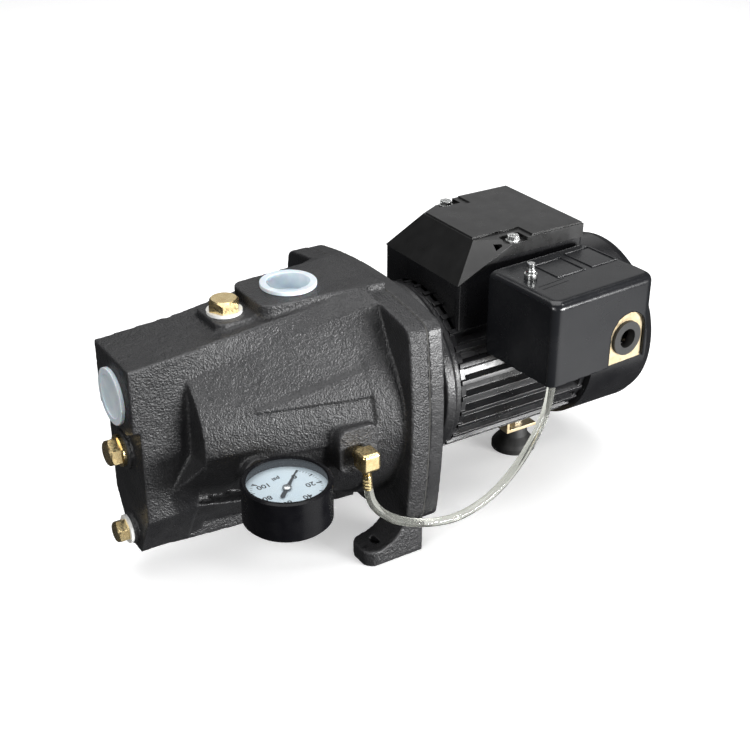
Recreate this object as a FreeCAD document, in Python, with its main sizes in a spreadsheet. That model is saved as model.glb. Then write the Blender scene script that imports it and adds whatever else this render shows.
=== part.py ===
import FreeCAD, Part
import math
import os
import re

import Sketcher

from FreeCAD import Placement, Rotation, Vector

# Shallow well jet pump: cast-iron jet body, finned motor, terminal box, pressure switch and gauge.
# Millimetres, +Z up, +X from the suction port towards the motor's fan.  The origin is midway
# between the two bolt holes of the pump's feet, on the plane that the feet stand on.

DIMENSIONS = {
    # shaft line, flanges and the motor's stations along X
    "shaft_height": 100, "suction_face": -157, "flange_front": 15.5, "gasket_front": 29.8,
    "gasket_thickness": 0.8, "plate_front": 30.6, "plate_rear": 42, "housing_front": 74,
    "housing_rear": 189, "cover_rear": 255,
    # squarish flange: half width, half height and how far its sides bulge
    "flange_half_width": 81, "flange_half_height": 76, "flange_bulge": 6.5,
    "flange_corner_radius": 9, "gasket_hole_radius": 70,
    # pump casing
    "cone_front": -118, "cone_front_radius": 50, "cone_front_height": 110, "cone_rear_radius": 78,
    "deck_height": 188.5, "deck_front": -60, "beam_half_width": 28, "wall": 7,
    "cavity_front": -92, "ring_band": 20, "ring_band_rise": 2, "waist_height": 98,
    "waist_relief": 2.5, "waist_start": -97, "waist_end": -36, "spear_rise": 1.6,
    # ports
    "port_radius": 16.7, "port_depth": 22, "suction_height": 141, "discharge_station": -28,
    "plug_clearance": 0.1, "plug_rim_radius": 19.4, "plug_rim": 3, "plug_depth": 11,
    "plug_recess_radius": 14.6, "plug_floor": 2,
    "priming_station": -76, "priming_top": 180.5, "priming_bore": 6.6, "priming_hex": 19,
    "centre_face": -156, "centre_bore": 8.1, "centre_hex": 17, "centre_collar_radius": 11,
    "drain_height": 38, "drain_bore": 5.1, "drain_hex": 14, "washer_radius": 12,
    "washer_thickness": 2, "hex_height": 8, "plug_collar": 2.2, "drain_washer_radius": 10,
    # feet and fasteners
    "foot_front": -16, "foot_inner": 56, "foot_outer": 82, "foot_thickness": 12,
    "foot_hole_y": 69, "foot_hole_radius": 5, "flange_bolt_y": 68, "flange_bolt_z": 62,
    "flange_bolt_radius": 4, "flange_bolt_hex": 13, "flange_bolt_head": 5.3,
    "flange_bolt_reach": 12,
    # jet, impeller and seal
    "nozzle_rear": -104, "nozzle_front": -136, "nozzle_body_radius": 7, "venturi_rear": -6,
    "venturi_radius": 12.2, "venturi_throat": 5, "diffuser_radius": 61, "diffuser_neck": 15.9,
    "impeller_front": 8, "impeller_rear": 20, "impeller_radius": 54, "impeller_eye": 15.5,
    "impeller_vanes": 6, "vane_thickness": 2.2, "vane_radius": 34, "shaft_tip_radius": 6,
    "seal_gap": 0.05, "seat_front": 31, "seat_rear": 37.6, "seat_radius": 14,
    # shaft, bearings, motor
    "shaft_tip": -2, "journal_radius": 7.5, "shaft_radius": 10, "fan_seat_radius": 6.5,
    "bearing_outer": 17.5, "bearing_width": 11, "front_bearing": 58, "rear_bearing": 184,
    "race_inner": 10.2, "race_outer": 14.8, "ball_radius": 2.2, "ball_pitch": 12.5,
    "ball_count": 8, "rotor_radius": 30, "stator_inner": 30.5, "stator_outer": 50,
    "core_front": 100, "core_rear": 168, "stator_slots": 24, "housing_root": 58.5,
    "housing_tip": 64, "fin_count": 32, "cover_radius": 67, "cover_wall": 1.5,
    "cover_front": 190.5, "bell_radius": 65.5, "fan_front": 206, "fan_rear": 228,
    "fan_radius": 54, "fan_blades": 7, "fan_blade": 2, "grille_slots": 24,
    # terminal box on the motor
    "box_front": 79, "box_rear": 189, "box_half_width": 46, "box_bottom": 128.5,
    "box_wall": 2.5, "box_split": 193, "box_top": 203.5, "box_shoulder": 118,
    "box_nose_height": 179, "cap_front": 102, "cap_half_width": 31, "saddle_radius": 64.2,
    "screw_station": 129, "screw_y": 41, "ledge_height": 201, "panel_rise": 1.2,
    "capacitor_radius": 15,
    # pressure switch, modelled square and then turned on its nipple
    "switch_turn": 3.5, "switch_x": 145, "switch_y": -86, "switch_half_length": 46,
    "switch_half_width": 36, "switch_bottom": 128.5, "switch_top": 190.5, "switch_wall": 2,
    "frame_plate": 1.8, "entry_x": 24.4, "entry_height": 146.7, "entry_radius": 7,
    "grommet_radius": 12.5, "arch_half_width": 16.5, "arch_height": 166, "post_x": -30,
    "post_y": 7.5, "post_radius": 2, "lever_x": -22, "lever_height": 5.8, "lever_pin": 1.6,
    "post_clearance": 0.4, "nipple_radius": 7,
    "nipple_height": 157, "nipple_arch_height": 173,
    "diaphragm_radius": 20, "diaphragm_bottom": 122, "barb_x": -10,
    # gauge
    "gauge_x": -86.5, "gauge_y": -100, "gauge_radius": 29, "gauge_bottom": 79,
    "gauge_top": 108, "gauge_wall": 2, "dial_height": 99.7, "dial_thickness": 0.6,
    "lens_bottom": 105.8, "lens_thickness": 1.2, "ring_bottom": 104.5, "ring_lip": 25.6,
    "pointer_height": 101.1, "pointer_length": 20, "stem_height": 92, "stem_radius": 4.4,
    # pressure line
    "elbow_x": -20, "elbow_y": -87.5, "elbow_height": 94, "elbow_size": 14,
    "elbow_pad_face": -77, "elbow_thread": 4.2, "tube_diameter": 6.35, "barb_radius": 2.4,
    "barb_drop": 6, "tube_top_start": 81, "tube_top_end": 108,
    # motor foot
    "motor_foot_x": 173.6, "rubber_radius": 17.5, "rubber_height": 20, "strip_thickness": 2.5,
    "strip_half_width": 11, "strip_rear": 187, "strip_riser": 158, "strip_front": 134,
    "motor_bottom": 36,
}

doc = FreeCAD.newDocument("JetPump")
sheet = doc.addObject("Spreadsheet::Sheet", "Sizes")
for row, (alias, number) in enumerate(DIMENSIONS.items(), 1):
    sheet.set(f"A{row}", alias)
    sheet.set(f"B{row}", str(number))
    sheet.setAlias(f"B{row}", alias)
doc.recompute()

NODES = []
TURNS = {
    "+X": Rotation(Vector(0, 1, 0), 90), "-X": Rotation(Vector(0, 1, 0), -90),
    "+Y": Rotation(Vector(1, 0, 0), -90), "-Y": Rotation(Vector(1, 0, 0), 90),
    "+Z": Rotation(), "-Z": Rotation(Vector(1, 0, 0), 180),
}


def size(alias):
    """A driving dimension, read from the sheet."""
    return float(sheet.get(alias))


def rule(words):
    """An expression whose aliases are looked up in the sheet."""
    text = str(words)
    return re.sub(r"[a-z]\w*", lambda found: "Sizes." + found[0]
                  if found[0] in DIMENSIONS else found[0], text)


def amount(words):
    """The number that an expression has now."""
    return float(sheet.evalExpression(rule(words)))


def node(label, obj):
    """Name a finished sub-part."""
    obj.Label = label
    NODES.append(obj)
    return obj


def put(obj, at, axis="+Z"):
    """Place an object, its local Z along the axis, with its position bound to the sheet."""
    obj.Placement = Placement(Vector(*(amount(part) for part in at)), TURNS[axis])
    for letter, part in zip("xyz", at):
        obj.setExpression("Placement.Base." + letter, rule(part))
    return obj


def cylinder(name, radius, height, at, axis="+Z"):
    obj = doc.addObject("Part::Cylinder", name)
    obj.setExpression("Radius", rule(radius))
    obj.setExpression("Height", rule(height))
    return put(obj, at, axis)


def cone(name, start_radius, end_radius, height, at, axis="+Z"):
    obj = doc.addObject("Part::Cone", name)
    obj.setExpression("Radius1", rule(start_radius))
    obj.setExpression("Radius2", rule(end_radius))
    obj.setExpression("Height", rule(height))
    return put(obj, at, axis)


def hexagon(name, across_flats, height, at, axis="+Z"):
    obj = doc.addObject("Part::Prism", name)
    obj.Polygon = 6
    obj.setExpression("Circumradius", rule(f"({across_flats}) / sqrt(3)"))
    obj.setExpression("Height", rule(height))
    return put(obj, at, axis)


def block(name, low, high):
    """A box between two corners."""
    obj = doc.addObject("Part::Box", name)
    for prop, start, end in zip(("Length", "Width", "Height"), low, high):
        obj.setExpression(prop, rule(f"({end}) - ({start})"))
    return put(obj, low)


def joined(name, *pieces):
    obj = doc.addObject("Part::MultiFuse", name)
    obj.Shapes = list(pieces)
    obj.Refine = True
    return obj


def cut(name, base, *tools):
    obj = doc.addObject("Part::Cut", name)
    obj.Base = base
    obj.Tool = tools[0] if len(tools) == 1 else joined(name + "Tools", *tools)
    obj.Refine = True
    return obj


def grouped(name, *pieces):
    """Several separate solids in one node."""
    obj = doc.addObject("Part::Compound", name)
    obj.Links = list(pieces)
    return obj


def shaped(name, shape):
    """A sub-part whose outline neither primitives nor sketches describe."""
    obj = doc.addObject("Part::Feature", name)
    obj.Shape = shape
    obj.Placement = shape.Placement
    return obj


def sketch_polygon(body, plane_role, points):
    """A closed sketch through points given as pairs of expressions, each one dimensioned."""
    plane = [item for item in body.Origin.OriginFeatures if item.Role == plane_role][0]
    sketch = body.newObject("Sketcher::SketchObject", body.Name + "Sketch")
    sketch.AttachmentSupport = [(plane, "")]
    sketch.MapMode = "FlatFace"
    corners = [Vector(amount(first), amount(second), 0) for first, second in points]
    for index, corner in enumerate(corners):
        following = corners[(index + 1) % len(corners)]
        sketch.addGeometry(Part.LineSegment(corner, following), False)
    for index in range(len(corners)):
        following = (index + 1) % len(corners)
        sketch.addConstraint(Sketcher.Constraint("Coincident", index, 2, following, 1))
    for index, (corner, point) in enumerate(zip(corners, points)):
        for kind, value, words in (("DistanceX", corner.x, point[0]),
                                   ("DistanceY", corner.y, point[1])):
            number = sketch.addConstraint(Sketcher.Constraint(kind, -1, 1, index, 1, value))
            sketch.setExpression(f"Constraints[{number}]", rule(words))
    return sketch


def turned(name, points, at=(0, 0, "shaft_height"), axis="+X"):
    """A body of revolution: points are (place along the axis, radius)."""
    body = doc.addObject("PartDesign::Body", name)
    sketch = sketch_polygon(body, "XZ_Plane", points)
    revolution = body.newObject("PartDesign::Revolution", name + "Turned")
    revolution.Profile = sketch
    revolution.ReferenceAxis = (sketch, ["H_Axis"])
    revolution.Angle = 360
    sketch.Visibility = False
    # the sketch's first coordinate runs along X, so X is what gets turned to the axis
    spin = {"+X": Rotation(), "+Z": Rotation(Vector(0, 1, 0), -90),
            "-X": Rotation(Vector(0, 0, 1), 180), "+Y": Rotation(Vector(0, 0, 1), 90)}[axis]
    body.Placement = Placement(Vector(*(amount(part) for part in at)), spin)
    return body


def face_across(points, station):
    """A face in the plane x = station from (y, z) corners."""
    corners = [Vector(station, y, z) for y, z in points]
    return Part.Wire(Part.makePolygon(corners + corners[:1]))


def mirrored_outline(half):
    """(y, z) corners of a symmetrical outline from those of its +Y half."""
    return half + [(-y, z) for y, z in reversed(half)]


def hull_between(first, first_station, second, second_station):
    """A solid with straight sides between two outlines of the same number of corners."""
    wires = [face_across(first, first_station), face_across(second, second_station)]
    return Part.makeLoft(wires, True, True)


def round_loft(station_a, height_a, radius_a, station_b, height_b, radius_b):
    circles = []
    for station, height, radius in ((station_a, height_a, radius_a),
                                    (station_b, height_b, radius_b)):
        ring = Part.Circle(Vector(station, 0, height), Vector(1, 0, 0), radius)
        circles.append(Part.Wire(ring.toShape()))
    return Part.makeLoft(circles, True, True)


def rod(radius, start, end):
    """A plain cylinder between two points."""
    start, end = Vector(*start), Vector(*end)
    return Part.makeCylinder(radius, (end - start).Length, start, end - start)


def flange_face(station, margin=0.0):
    """The squarish flange outline with bulging sides and rounded corners."""
    half_y = size("flange_half_width") - margin
    half_z = size("flange_half_height") - margin
    bulge = size("flange_bulge")
    middle = size("shaft_height")

    def bowed(start, through, end):
        return Part.Arc(*(Vector(station, y, middle + z) for y, z in (start, through, end)))

    edges = [
        bowed((half_y, -half_z), (half_y + bulge, 0), (half_y, half_z)),
        bowed((half_y, half_z), (0, half_z + bulge + 2), (-half_y, half_z)),
        bowed((-half_y, half_z), (-half_y - bulge, 0), (-half_y, -half_z)),
        bowed((-half_y, -half_z), (0, -half_z - bulge - 2), (half_y, -half_z)),
    ]
    return Part.Face(Part.Wire([edge.toShape() for edge in edges]))


def flange_solid(front, rear, margin=0.0):
    solid = flange_face(front, margin).extrude(Vector(rear - front, 0, 0))
    corners = [edge for edge in solid.Edges
               if abs(edge.Vertexes[0].X - edge.Vertexes[-1].X) > (rear - front) / 2]
    return solid.makeFillet(size("flange_corner_radius"), corners)


def casing_outside():
    """The casting's outer form, before its cores are taken out."""
    front, middle = size("suction_face"), size("shaft_height")
    flange, cone_front = size("flange_front"), size("cone_front")
    cone_rise, cone_radius = size("cone_front_height"), size("cone_front_radius")
    beam = size("beam_half_width")

    # round body that widens towards the flange, stepped in below its waist
    body = round_loft(cone_front, cone_rise, cone_radius, flange, middle, size("cone_rear_radius"))
    step = size("waist_relief")
    inner = round_loft(cone_front, cone_rise, cone_radius - step,
                       flange, middle, size("cone_rear_radius") - step)
    zone = Part.makeBox(size("waist_end") - size("waist_start"), 200, 90,
                        Vector(size("waist_start"), -100, size("waist_height") - 90))
    body = body.cut(zone.cut(inner))

    # raised band next to the flange
    band_start = flange - size("ring_band")
    slope = (size("cone_rear_radius") - cone_radius) / (flange - cone_front)
    rise = size("ring_band_rise")
    narrow = size("cone_rear_radius") - slope * size("ring_band") + rise
    band_height = middle + (cone_rise - middle) * size("ring_band") / (flange - cone_front)
    band = round_loft(band_start, band_height, narrow,
                      flange, middle, size("cone_rear_radius") + rise)

    # spear-shaped rib pointing forwards on each side of the body
    spear_tip, spear_tip_height = -81.5, 131
    spear_high, spear_low = 146, 128.5
    outline = Part.makePolygon([Vector(spear_tip, 0, spear_tip_height),
                                Vector(band_start + 1, 0, spear_low),
                                Vector(band_start + 1, 0, spear_high),
                                Vector(spear_tip, 0, spear_tip_height + 1.5),
                                Vector(spear_tip, 0, spear_tip_height)])
    wedge = Part.Face(outline).extrude(Vector(0, 200, 0))
    wedge.translate(Vector(0, -100, 0))
    lift = size("spear_rise")
    shell = round_loft(cone_front, cone_rise, cone_radius + lift,
                       flange, middle, size("cone_rear_radius") + lift)
    spears = shell.common(wedge)

    # beam that carries the suction port, and the shoulders that spread from it to the flange
    beam_front = mirrored_outline([(16, 118.5), (beam, 125), (beam, 169.5)])
    beam_rear = mirrored_outline([(16, 118.5), (beam, 125), (beam, 173)])
    upper = hull_between(beam_front, front, beam_rear, -108)
    shoulder_front = mirrored_outline([(44, 105), (44, 133), (beam, 154.5), (26, 172)])
    shoulder_rear = mirrored_outline([(66, 100), (66, 141), (44, 183), (31, 188)])
    shoulders = hull_between(shoulder_front, cone_front, shoulder_rear, flange)
    lower_front = mirrored_outline([(9, 22), (beam, 56), (beam, 126)])
    lower = hull_between(lower_front, front + 5, lower_front, -108)

    # bow under the beam and keel under the body
    bow_front = mirrored_outline([(9, 24), (18, 46), (10, 50)])
    bow_rear = mirrored_outline([(12, 22), (34, 62), (48.5, 100)])
    bow = hull_between(bow_front, -150, bow_rear, cone_front)
    keel_front = mirrored_outline([(12, 22), (12, 34), (34, 62)])
    keel_rear = mirrored_outline([(12, 12), (12, 21), (50, 42)])
    keel = hull_between(keel_front, cone_front, keel_rear, flange)

    # raised deck round the discharge port, and the pad of the priming plug
    deck_top, deck_front = size("deck_height"), size("deck_front")
    deck = Part.Face(Part.makePolygon([Vector(*p, 165) for p in (
        (deck_front, -23), (29.8, -31), (29.8, 31), (deck_front, 23), (deck_front, -23))]))
    deck = deck.extrude(Vector(0, 0, deck_top - 165))
    deck_corners = [edge for edge in deck.Edges
                    if abs(edge.Vertexes[0].Z - edge.Vertexes[-1].Z) > 5
                    and edge.Vertexes[0].X < 0]
    deck = deck.makeFillet(9, deck_corners)
    pad = Part.makeBox(30, 36, size("priming_top") - 160,
                       Vector(size("priming_station") - 14, -18, 160))
    pad_corners = [edge for edge in pad.Edges
                   if abs(edge.Vertexes[0].Z - edge.Vertexes[-1].Z) > 5]
    pad = pad.makeFillet(7, pad_corners)

    # bosses of the centre plug, drain plug, gauge and pressure line
    centre = size("centre_face")
    bosses = [
        rod(14, (centre, 0, middle), (-140, 0, middle)),
        rod(11, (centre, 0, size("drain_height")), (-140, 0, size("drain_height"))),
        rod(10, (size("gauge_x"), -61, size("stem_height")),
            (size("gauge_x"), -35, size("stem_height"))),
    ]
    elbow_pad = Part.makeBox(30, 27, 33, Vector(size("elbow_x") - 15, size("elbow_pad_face"), 80))
    pad_edges = [edge for edge in elbow_pad.Edges
                 if abs(edge.Vertexes[0].Y - edge.Vertexes[-1].Y) > 5]
    bosses.append(elbow_pad.makeFillet(7, pad_edges))

    # flange, and the two feet with their legs
    plate = flange_solid(flange, size("gasket_front"))
    feet = []
    rear = size("gasket_front")
    for side in (-1, 1):
        inner_y, outer_y = side * size("foot_inner"), side * size("foot_outer")
        low_y = min(inner_y, outer_y)
        width = abs(outer_y - inner_y)
        toe = Part.makeBox(rear - size("foot_front"), width, size("foot_thickness"),
                           Vector(size("foot_front"), low_y, 0))
        toe_corners = [edge for edge in toe.Edges
                       if abs(edge.Vertexes[0].Z - edge.Vertexes[-1].Z) > 5
                       and edge.Vertexes[0].X < 0]
        toe = toe.makeFillet(9, toe_corners)
        leg_outline = [Vector(flange, side * y, z) for y, z in
                       ((14, 25), (50, 12), (56, 0), (82, 0), (82, 45), (14, 45), (14, 25))]
        leg = Part.Face(Part.makePolygon(leg_outline)).extrude(Vector(rear - flange, 0, 0))
        gusset_radius = 24
        web = Part.makeBox(gusset_radius, width, gusset_radius,
                           Vector(flange - gusset_radius, low_y, size("foot_thickness")))
        scoop = Part.makeCylinder(gusset_radius, width + 2,
                                  Vector(flange - gusset_radius, low_y - 1,
                                         size("foot_thickness") + gusset_radius),
                                  Vector(0, 1, 0))
        feet += [toe, leg, web.cut(scoop)]

    return body.multiFuse([band, spears, upper, shoulders, lower, bow, keel, deck, pad,
                           plate] + bosses + feet)


def casing_cores():
    """Everything that is hollow in the casting."""
    middle, wall = size("shaft_height"), size("wall")
    face, port = size("suction_face"), size("port_radius")
    suction, drain = size("suction_height"), size("drain_height")
    rear, cavity_front = size("gasket_front"), size("cavity_front")
    chamber, rise, inlet = 15, 12, -112
    drive_x, drive_z, passage = -143, 72, 5
    gauge = (size("gauge_x"), size("stem_height"))
    elbow = (size("elbow_x"), size("elbow_height"))
    prime_x, prime_top = size("priming_station"), size("priming_top")
    deck, out_x = size("deck_height"), size("discharge_station")
    cores = [
        round_loft(cavity_front, 108, size("cone_front_radius") - wall + 2,
                   rear, middle, size("gasket_hole_radius")),
        # suction: port, fall to the jet chamber, and the venturi's seat
        rod(port, (face, 0, suction), (face + size("port_depth"), 0, suction)),
        rod(port - 2, (face, 0, suction), (inlet + rise, 0, suction)),
        rod(rise, (inlet, 0, middle), (inlet, 0, suction)),
        rod(chamber, (-126, 0, middle), (-98, 0, middle)),
        rod(size("venturi_radius"), (-99, 0, middle), (cavity_front + 1, 0, middle)),
        # drive water: plug bore, nozzle thread and the passages behind it
        rod(size("centre_bore"), (size("centre_face"), 0, middle),
            (size("nozzle_front"), 0, middle)),
        rod(size("nozzle_body_radius"), (size("nozzle_front"), 0, middle), (-125, 0, middle)),
        rod(passage, (drive_x, 0, drive_z), (drive_x, 0, middle)),
        rod(passage, (drive_x, 0, drive_z), (cavity_front + 6, 0, drive_z)),
        rod(size("drain_bore"), (size("centre_face"), 0, drain), (-122, 0, drain)),
        rod(passage - 1, (-124, 0, drain), (-124, 0, drive_z)),
        # top ports
        rod(port, (out_x, 0, deck - size("port_depth")), (out_x, 0, deck)),
        rod(port - 2, (out_x, 0, middle + 40), (out_x, 0, deck)),
        rod(size("priming_bore"), (prime_x, 0, middle + 40), (prime_x, 0, prime_top)),
        # side ports of the gauge and the pressure line
        rod(size("stem_radius"), (gauge[0], -62, gauge[1]), (gauge[0], -30, gauge[1])),
        rod(size("elbow_thread"), (elbow[0], -80, elbow[1]), (elbow[0], -50, elbow[1])),
    ]
    for side in (-1, 1):
        foot_y = side * size("foot_hole_y")
        cores.append(rod(size("foot_hole_radius"), (0, foot_y, -1),
                         (0, foot_y, size("foot_thickness") + 1)))
    return cores + flange_bolt_shanks(size("flange_bolt_radius"), size("gasket_front") + 1)


def bolt_places():
    """(y, z) of the four flange bolts."""
    middle = size("shaft_height")
    return [(side * size("flange_bolt_y"), middle + level * size("flange_bolt_z"))
            for side in (-1, 1) for level in (-1, 1)]


def flange_bolt_shanks(radius, rear):
    start = size("gasket_front") - size("flange_bolt_reach")
    return [rod(radius, (start, y, z), (rear, y, z)) for y, z in bolt_places()]


def make_casing():
    casing = casing_outside()
    casing = casing.cut(casing_cores()).removeSplitter()
    node("pump_casing", shaped("PumpCasing", casing))


def make_flange_joint():
    """Gasket, motor bracket and the bolts that draw them together."""
    gasket = flange_solid(size("gasket_front"), size("plate_front"), 0.6)
    gasket = gasket.cut([rod(size("gasket_hole_radius"), (size("gasket_front"), 0, 100),
                             (size("plate_front"), 0, 100))]
                        + flange_bolt_shanks(size("flange_bolt_radius"), size("plate_front")))
    node("casing_gasket", shaped("CasingGasket", gasket))

    plate_front, plate_rear = size("plate_front"), size("plate_rear")
    middle = size("shaft_height")
    plate = flange_solid(plate_front, plate_rear, 0.4)
    neck_profile = [(plate_rear, 0), (plate_rear, 66), (46, 61), (58, 59), (60, 65), (67, 66),
                    (69, 63), (size("housing_front"), 63), (size("housing_front"), 0)]
    neck = Part.Face(Part.makePolygon([Vector(x, 0, middle + r) for x, r in neck_profile]
                                      + [Vector(plate_rear, 0, middle)]))
    neck = neck.revolve(Vector(0, 0, middle), Vector(1, 0, 0), 360)
    bearing = size("front_bearing")
    hollows = [
        rod(size("seat_radius"), (plate_front, 0, middle), (size("seat_rear"), 0, middle)),
        rod(9, (plate_front, 0, middle), (size("housing_front"), 0, middle)),
        rod(50, (plate_rear + 1, 0, middle), (bearing - 3, 0, middle)),
        rod(size("bearing_outer"), (bearing, 0, middle), (size("housing_front"), 0, middle)),
        rod(12, (bearing - 4, 0, middle), (bearing + 1, 0, middle)),
    ]
    bracket = plate.fuse(neck).cut(hollows + flange_bolt_shanks(size("flange_bolt_radius"),
                                                                plate_rear + 1))
    node("motor_bracket", shaped("MotorBracket", bracket.removeSplitter()))

    bolts = []
    for number, (y, z) in enumerate(bolt_places(), 1):
        shank = cylinder(f"FlangeShank{number}", "flange_bolt_radius",
                         "plate_rear - gasket_front + flange_bolt_reach",
                         ("gasket_front - flange_bolt_reach", y, z), "+X")
        head = hexagon(f"FlangeHead{number}", "flange_bolt_hex", "flange_bolt_head",
                       ("plate_rear", y, z), "+X")
        bolts.append(joined(f"FlangeBolt{number}", shank, head))
    node("flange_bolts", grouped("FlangeBolts", *bolts))


def make_jet():
    """Nozzle, venturi and diffuser, in line on the shaft's axis."""
    node("ejector_nozzle", turned("EjectorNozzle", [
        ("nozzle_front", 4), ("nozzle_front", "nozzle_body_radius"),
        (-124, "nozzle_body_radius"), (-122, 6.4), ("nozzle_rear", 4.2),
        ("nozzle_rear", 2.6), (-112, 2.9), (-126, 4)]))
    node("venturi_tube", turned("VenturiTube", [
        (-98, 9), (-98, "venturi_radius"), ("venturi_rear", "venturi_radius"),
        ("venturi_rear", 9.6), (-74, "venturi_throat"), (-86, "venturi_throat")]))
    body = turned("DiffuserBody", [
        (-18, "venturi_radius"), (-18, 18.5), (1, 18.5), (1, "diffuser_radius"),
        ("plate_front", "diffuser_radius"), ("plate_front", 57.5), (5, 57.5),
        (5, "diffuser_neck"), (-1, "diffuser_neck"), ("venturi_rear", "venturi_radius")])
    windows = []
    window_count = 8
    for number in range(window_count):
        turn = 360 / window_count * number
        window = cylinder(f"DiffuserWindow{number}", 5, "diffuser_radius + 2",
                          (19, 0, "shaft_height"))
        window.Placement.Rotation = Rotation(Vector(1, 0, 0), turn)
        windows.append(window)
    core = cylinder("DiffuserCore", 56, 60, (-20, 0, "shaft_height"), "+X")
    node("diffuser", cut("Diffuser", body, cut("DiffuserWindows",
                                               joined("DiffuserDrills", *windows), core)))


def make_impeller():
    """Closed impeller with curved vanes, on the shaft's tip behind its nut."""
    middle, radius = size("shaft_height"), size("impeller_radius")
    front, rear = size("impeller_front"), size("impeller_rear")
    shrouds = [(3, 13.5), (3, size("impeller_eye")), (front, size("impeller_eye")),
               (front + 1.5, radius), (front + 3.5, radius), (front + 2.5, 13.5)]
    hub = [(6, size("shaft_tip_radius")), (6, 10.5), (rear - 4, 12), (rear - 2.5, radius),
           (rear, radius), (rear, size("shaft_tip_radius"))]
    solids = []
    for profile in (shrouds, hub):
        corners = [Vector(x, 0, middle + r) for x, r in profile]
        face = Part.Face(Part.makePolygon(corners + corners[:1]))
        solids.append(face.revolve(Vector(0, 0, middle), Vector(1, 0, 0), 360))
    start, end = front + 1.5, rear - 1
    inner = Part.makeCylinder(14, end - start, Vector(start, 0, middle), Vector(1, 0, 0))
    disc = Part.makeCylinder(radius - 1, end - start, Vector(start, 0, middle), Vector(1, 0, 0))
    bend, thick = size("vane_radius"), size("vane_thickness")
    count = int(size("impeller_vanes"))
    for number in range(count):
        turn = math.radians(360 / count * number)
        centre = Vector(start, bend * math.cos(turn), middle + bend * math.sin(turn))
        arc = Part.makeCylinder(bend, end - start, centre, Vector(1, 0, 0))
        arc = arc.cut(Part.makeCylinder(bend - thick, end - start, centre, Vector(1, 0, 0)))
        half = Part.makeBox(end - start, 120, 120, Vector(start, -120, 0))
        half.rotate(Vector(start, 0, 0), Vector(1, 0, 0), math.degrees(turn) - 90)
        half.translate(Vector(0, 0, middle))
        solids.append(arc.common(disc).cut([inner, half]))
    impeller = solids[0].multiFuse(solids[1:])
    swept = Part.makeCylinder(size("shaft_tip_radius"), 40, Vector(0, 0, middle), Vector(1, 0, 0))
    node("impeller", shaped("Impeller", impeller.cut(swept).removeSplitter()))

    nut = hexagon("NutHex", 15, 7, (-1, 0, "shaft_height"), "+X")
    bore = cylinder("NutBore", "shaft_tip_radius", 12, (-3, 0, "shaft_height"), "+X")
    node("impeller_nut", cut("ImpellerNut", nut, bore))


def make_shaft_line():
    """Shaft, seal, bearings, rotor and fan."""
    node("shaft", turned("Shaft", [
        ("shaft_tip", 0), ("shaft_tip", "shaft_tip_radius"),
        ("impeller_rear", "shaft_tip_radius"), ("impeller_rear", 7), (57, 7),
        (57, "journal_radius"), (70, "journal_radius"), (70, "shaft_radius"),
        (183, "shaft_radius"), (183, "journal_radius"), (196, "journal_radius"),
        (196, "fan_seat_radius"), (232, "fan_seat_radius"), (232, 0)]))
    node("seal_head", turned("SealHead", [
        ("impeller_rear", 7), ("impeller_rear", 11), (22, 11), (23, 9), (24.5, 11.5),
        (26, 9), (27.2, 12.5), ("seat_front - seal_gap", 12.5), ("seat_front - seal_gap", 7)]))
    node("seal_seat", turned("SealSeat", [
        ("seat_front", 7.6), ("seat_front", "seat_radius"), ("seat_rear", "seat_radius"),
        ("seat_rear", 7.6)]))
    for place in ("front", "rear"):
        start = f"{place}_bearing"
        end = f"{place}_bearing + bearing_width"
        title = place.capitalize()
        node(f"{place}_bearing_inner", turned(f"{title}Inner", [
            (start, "journal_radius"), (start, "race_inner"), (end, "race_inner"),
            (end, "journal_radius")]))
        node(f"{place}_bearing_outer", turned(f"{title}Outer", [
            (start, "race_outer"), (start, "bearing_outer"), (end, "bearing_outer"),
            (end, "race_outer")]))
        cage = turned(f"{title}Cage", [
            (f"{start} + 2", "ball_pitch - 0.5"), (f"{start} + 2", "ball_pitch + 0.5"),
            (f"{end} - 2", "ball_pitch + 0.5"), (f"{end} - 2", "ball_pitch - 0.5")])
        balls = []
        for number in range(int(size("ball_count"))):
            turn = math.radians(360 / size("ball_count") * number)
            ball = doc.addObject("Part::Sphere", f"{title}Ball{number}")
            ball.setExpression("Radius", rule("ball_radius"))
            ball.Placement.Base = Vector(
                amount(f"{start} + bearing_width / 2"), size("ball_pitch") * math.cos(turn),
                size("shaft_height") + size("ball_pitch") * math.sin(turn))
            balls.append(ball)
        node(f"{place}_bearing_balls", joined(f"{title}Balls", cage, *balls))

    core = turned("RotorBody", [
        ("core_front", "shaft_radius"), ("core_front", 26), ("core_front - 6", 26),
        ("core_front - 6", "rotor_radius - 1"), ("core_front", "rotor_radius"),
        ("core_rear", "rotor_radius"), ("core_rear + 6", "rotor_radius - 1"),
        ("core_rear + 6", 26), ("core_rear", 26), ("core_rear", "shaft_radius")])
    node("rotor_core", core)

    hub = turned("FanHub", [
        ("fan_front", "fan_seat_radius"), ("fan_front", 13), ("fan_rear - 2", 15),
        ("fan_rear - 2", 46), ("fan_rear", 46), ("fan_rear", "fan_seat_radius")])
    blades = []
    for number in range(int(size("fan_blades"))):
        blade = block(f"FanBlade{number}", ("fan_front", "-fan_blade / 2", 12),
                      ("fan_rear", "fan_blade / 2", "fan_radius"))
        blade.setExpression("Placement.Base.z", None)
        blade.setExpression("Placement.Base.y", None)
        turn = 360 / size("fan_blades") * number
        spin = Placement(Vector(0, 0, size("shaft_height")), Rotation(Vector(1, 0, 0), turn))
        blade.Placement = spin.multiply(Placement(
            Vector(size("fan_front"), -size("fan_blade") / 2, 12), Rotation()))
        blades.append(blade)
    node("cooling_fan", joined("CoolingFan", hub, *blades))


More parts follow.
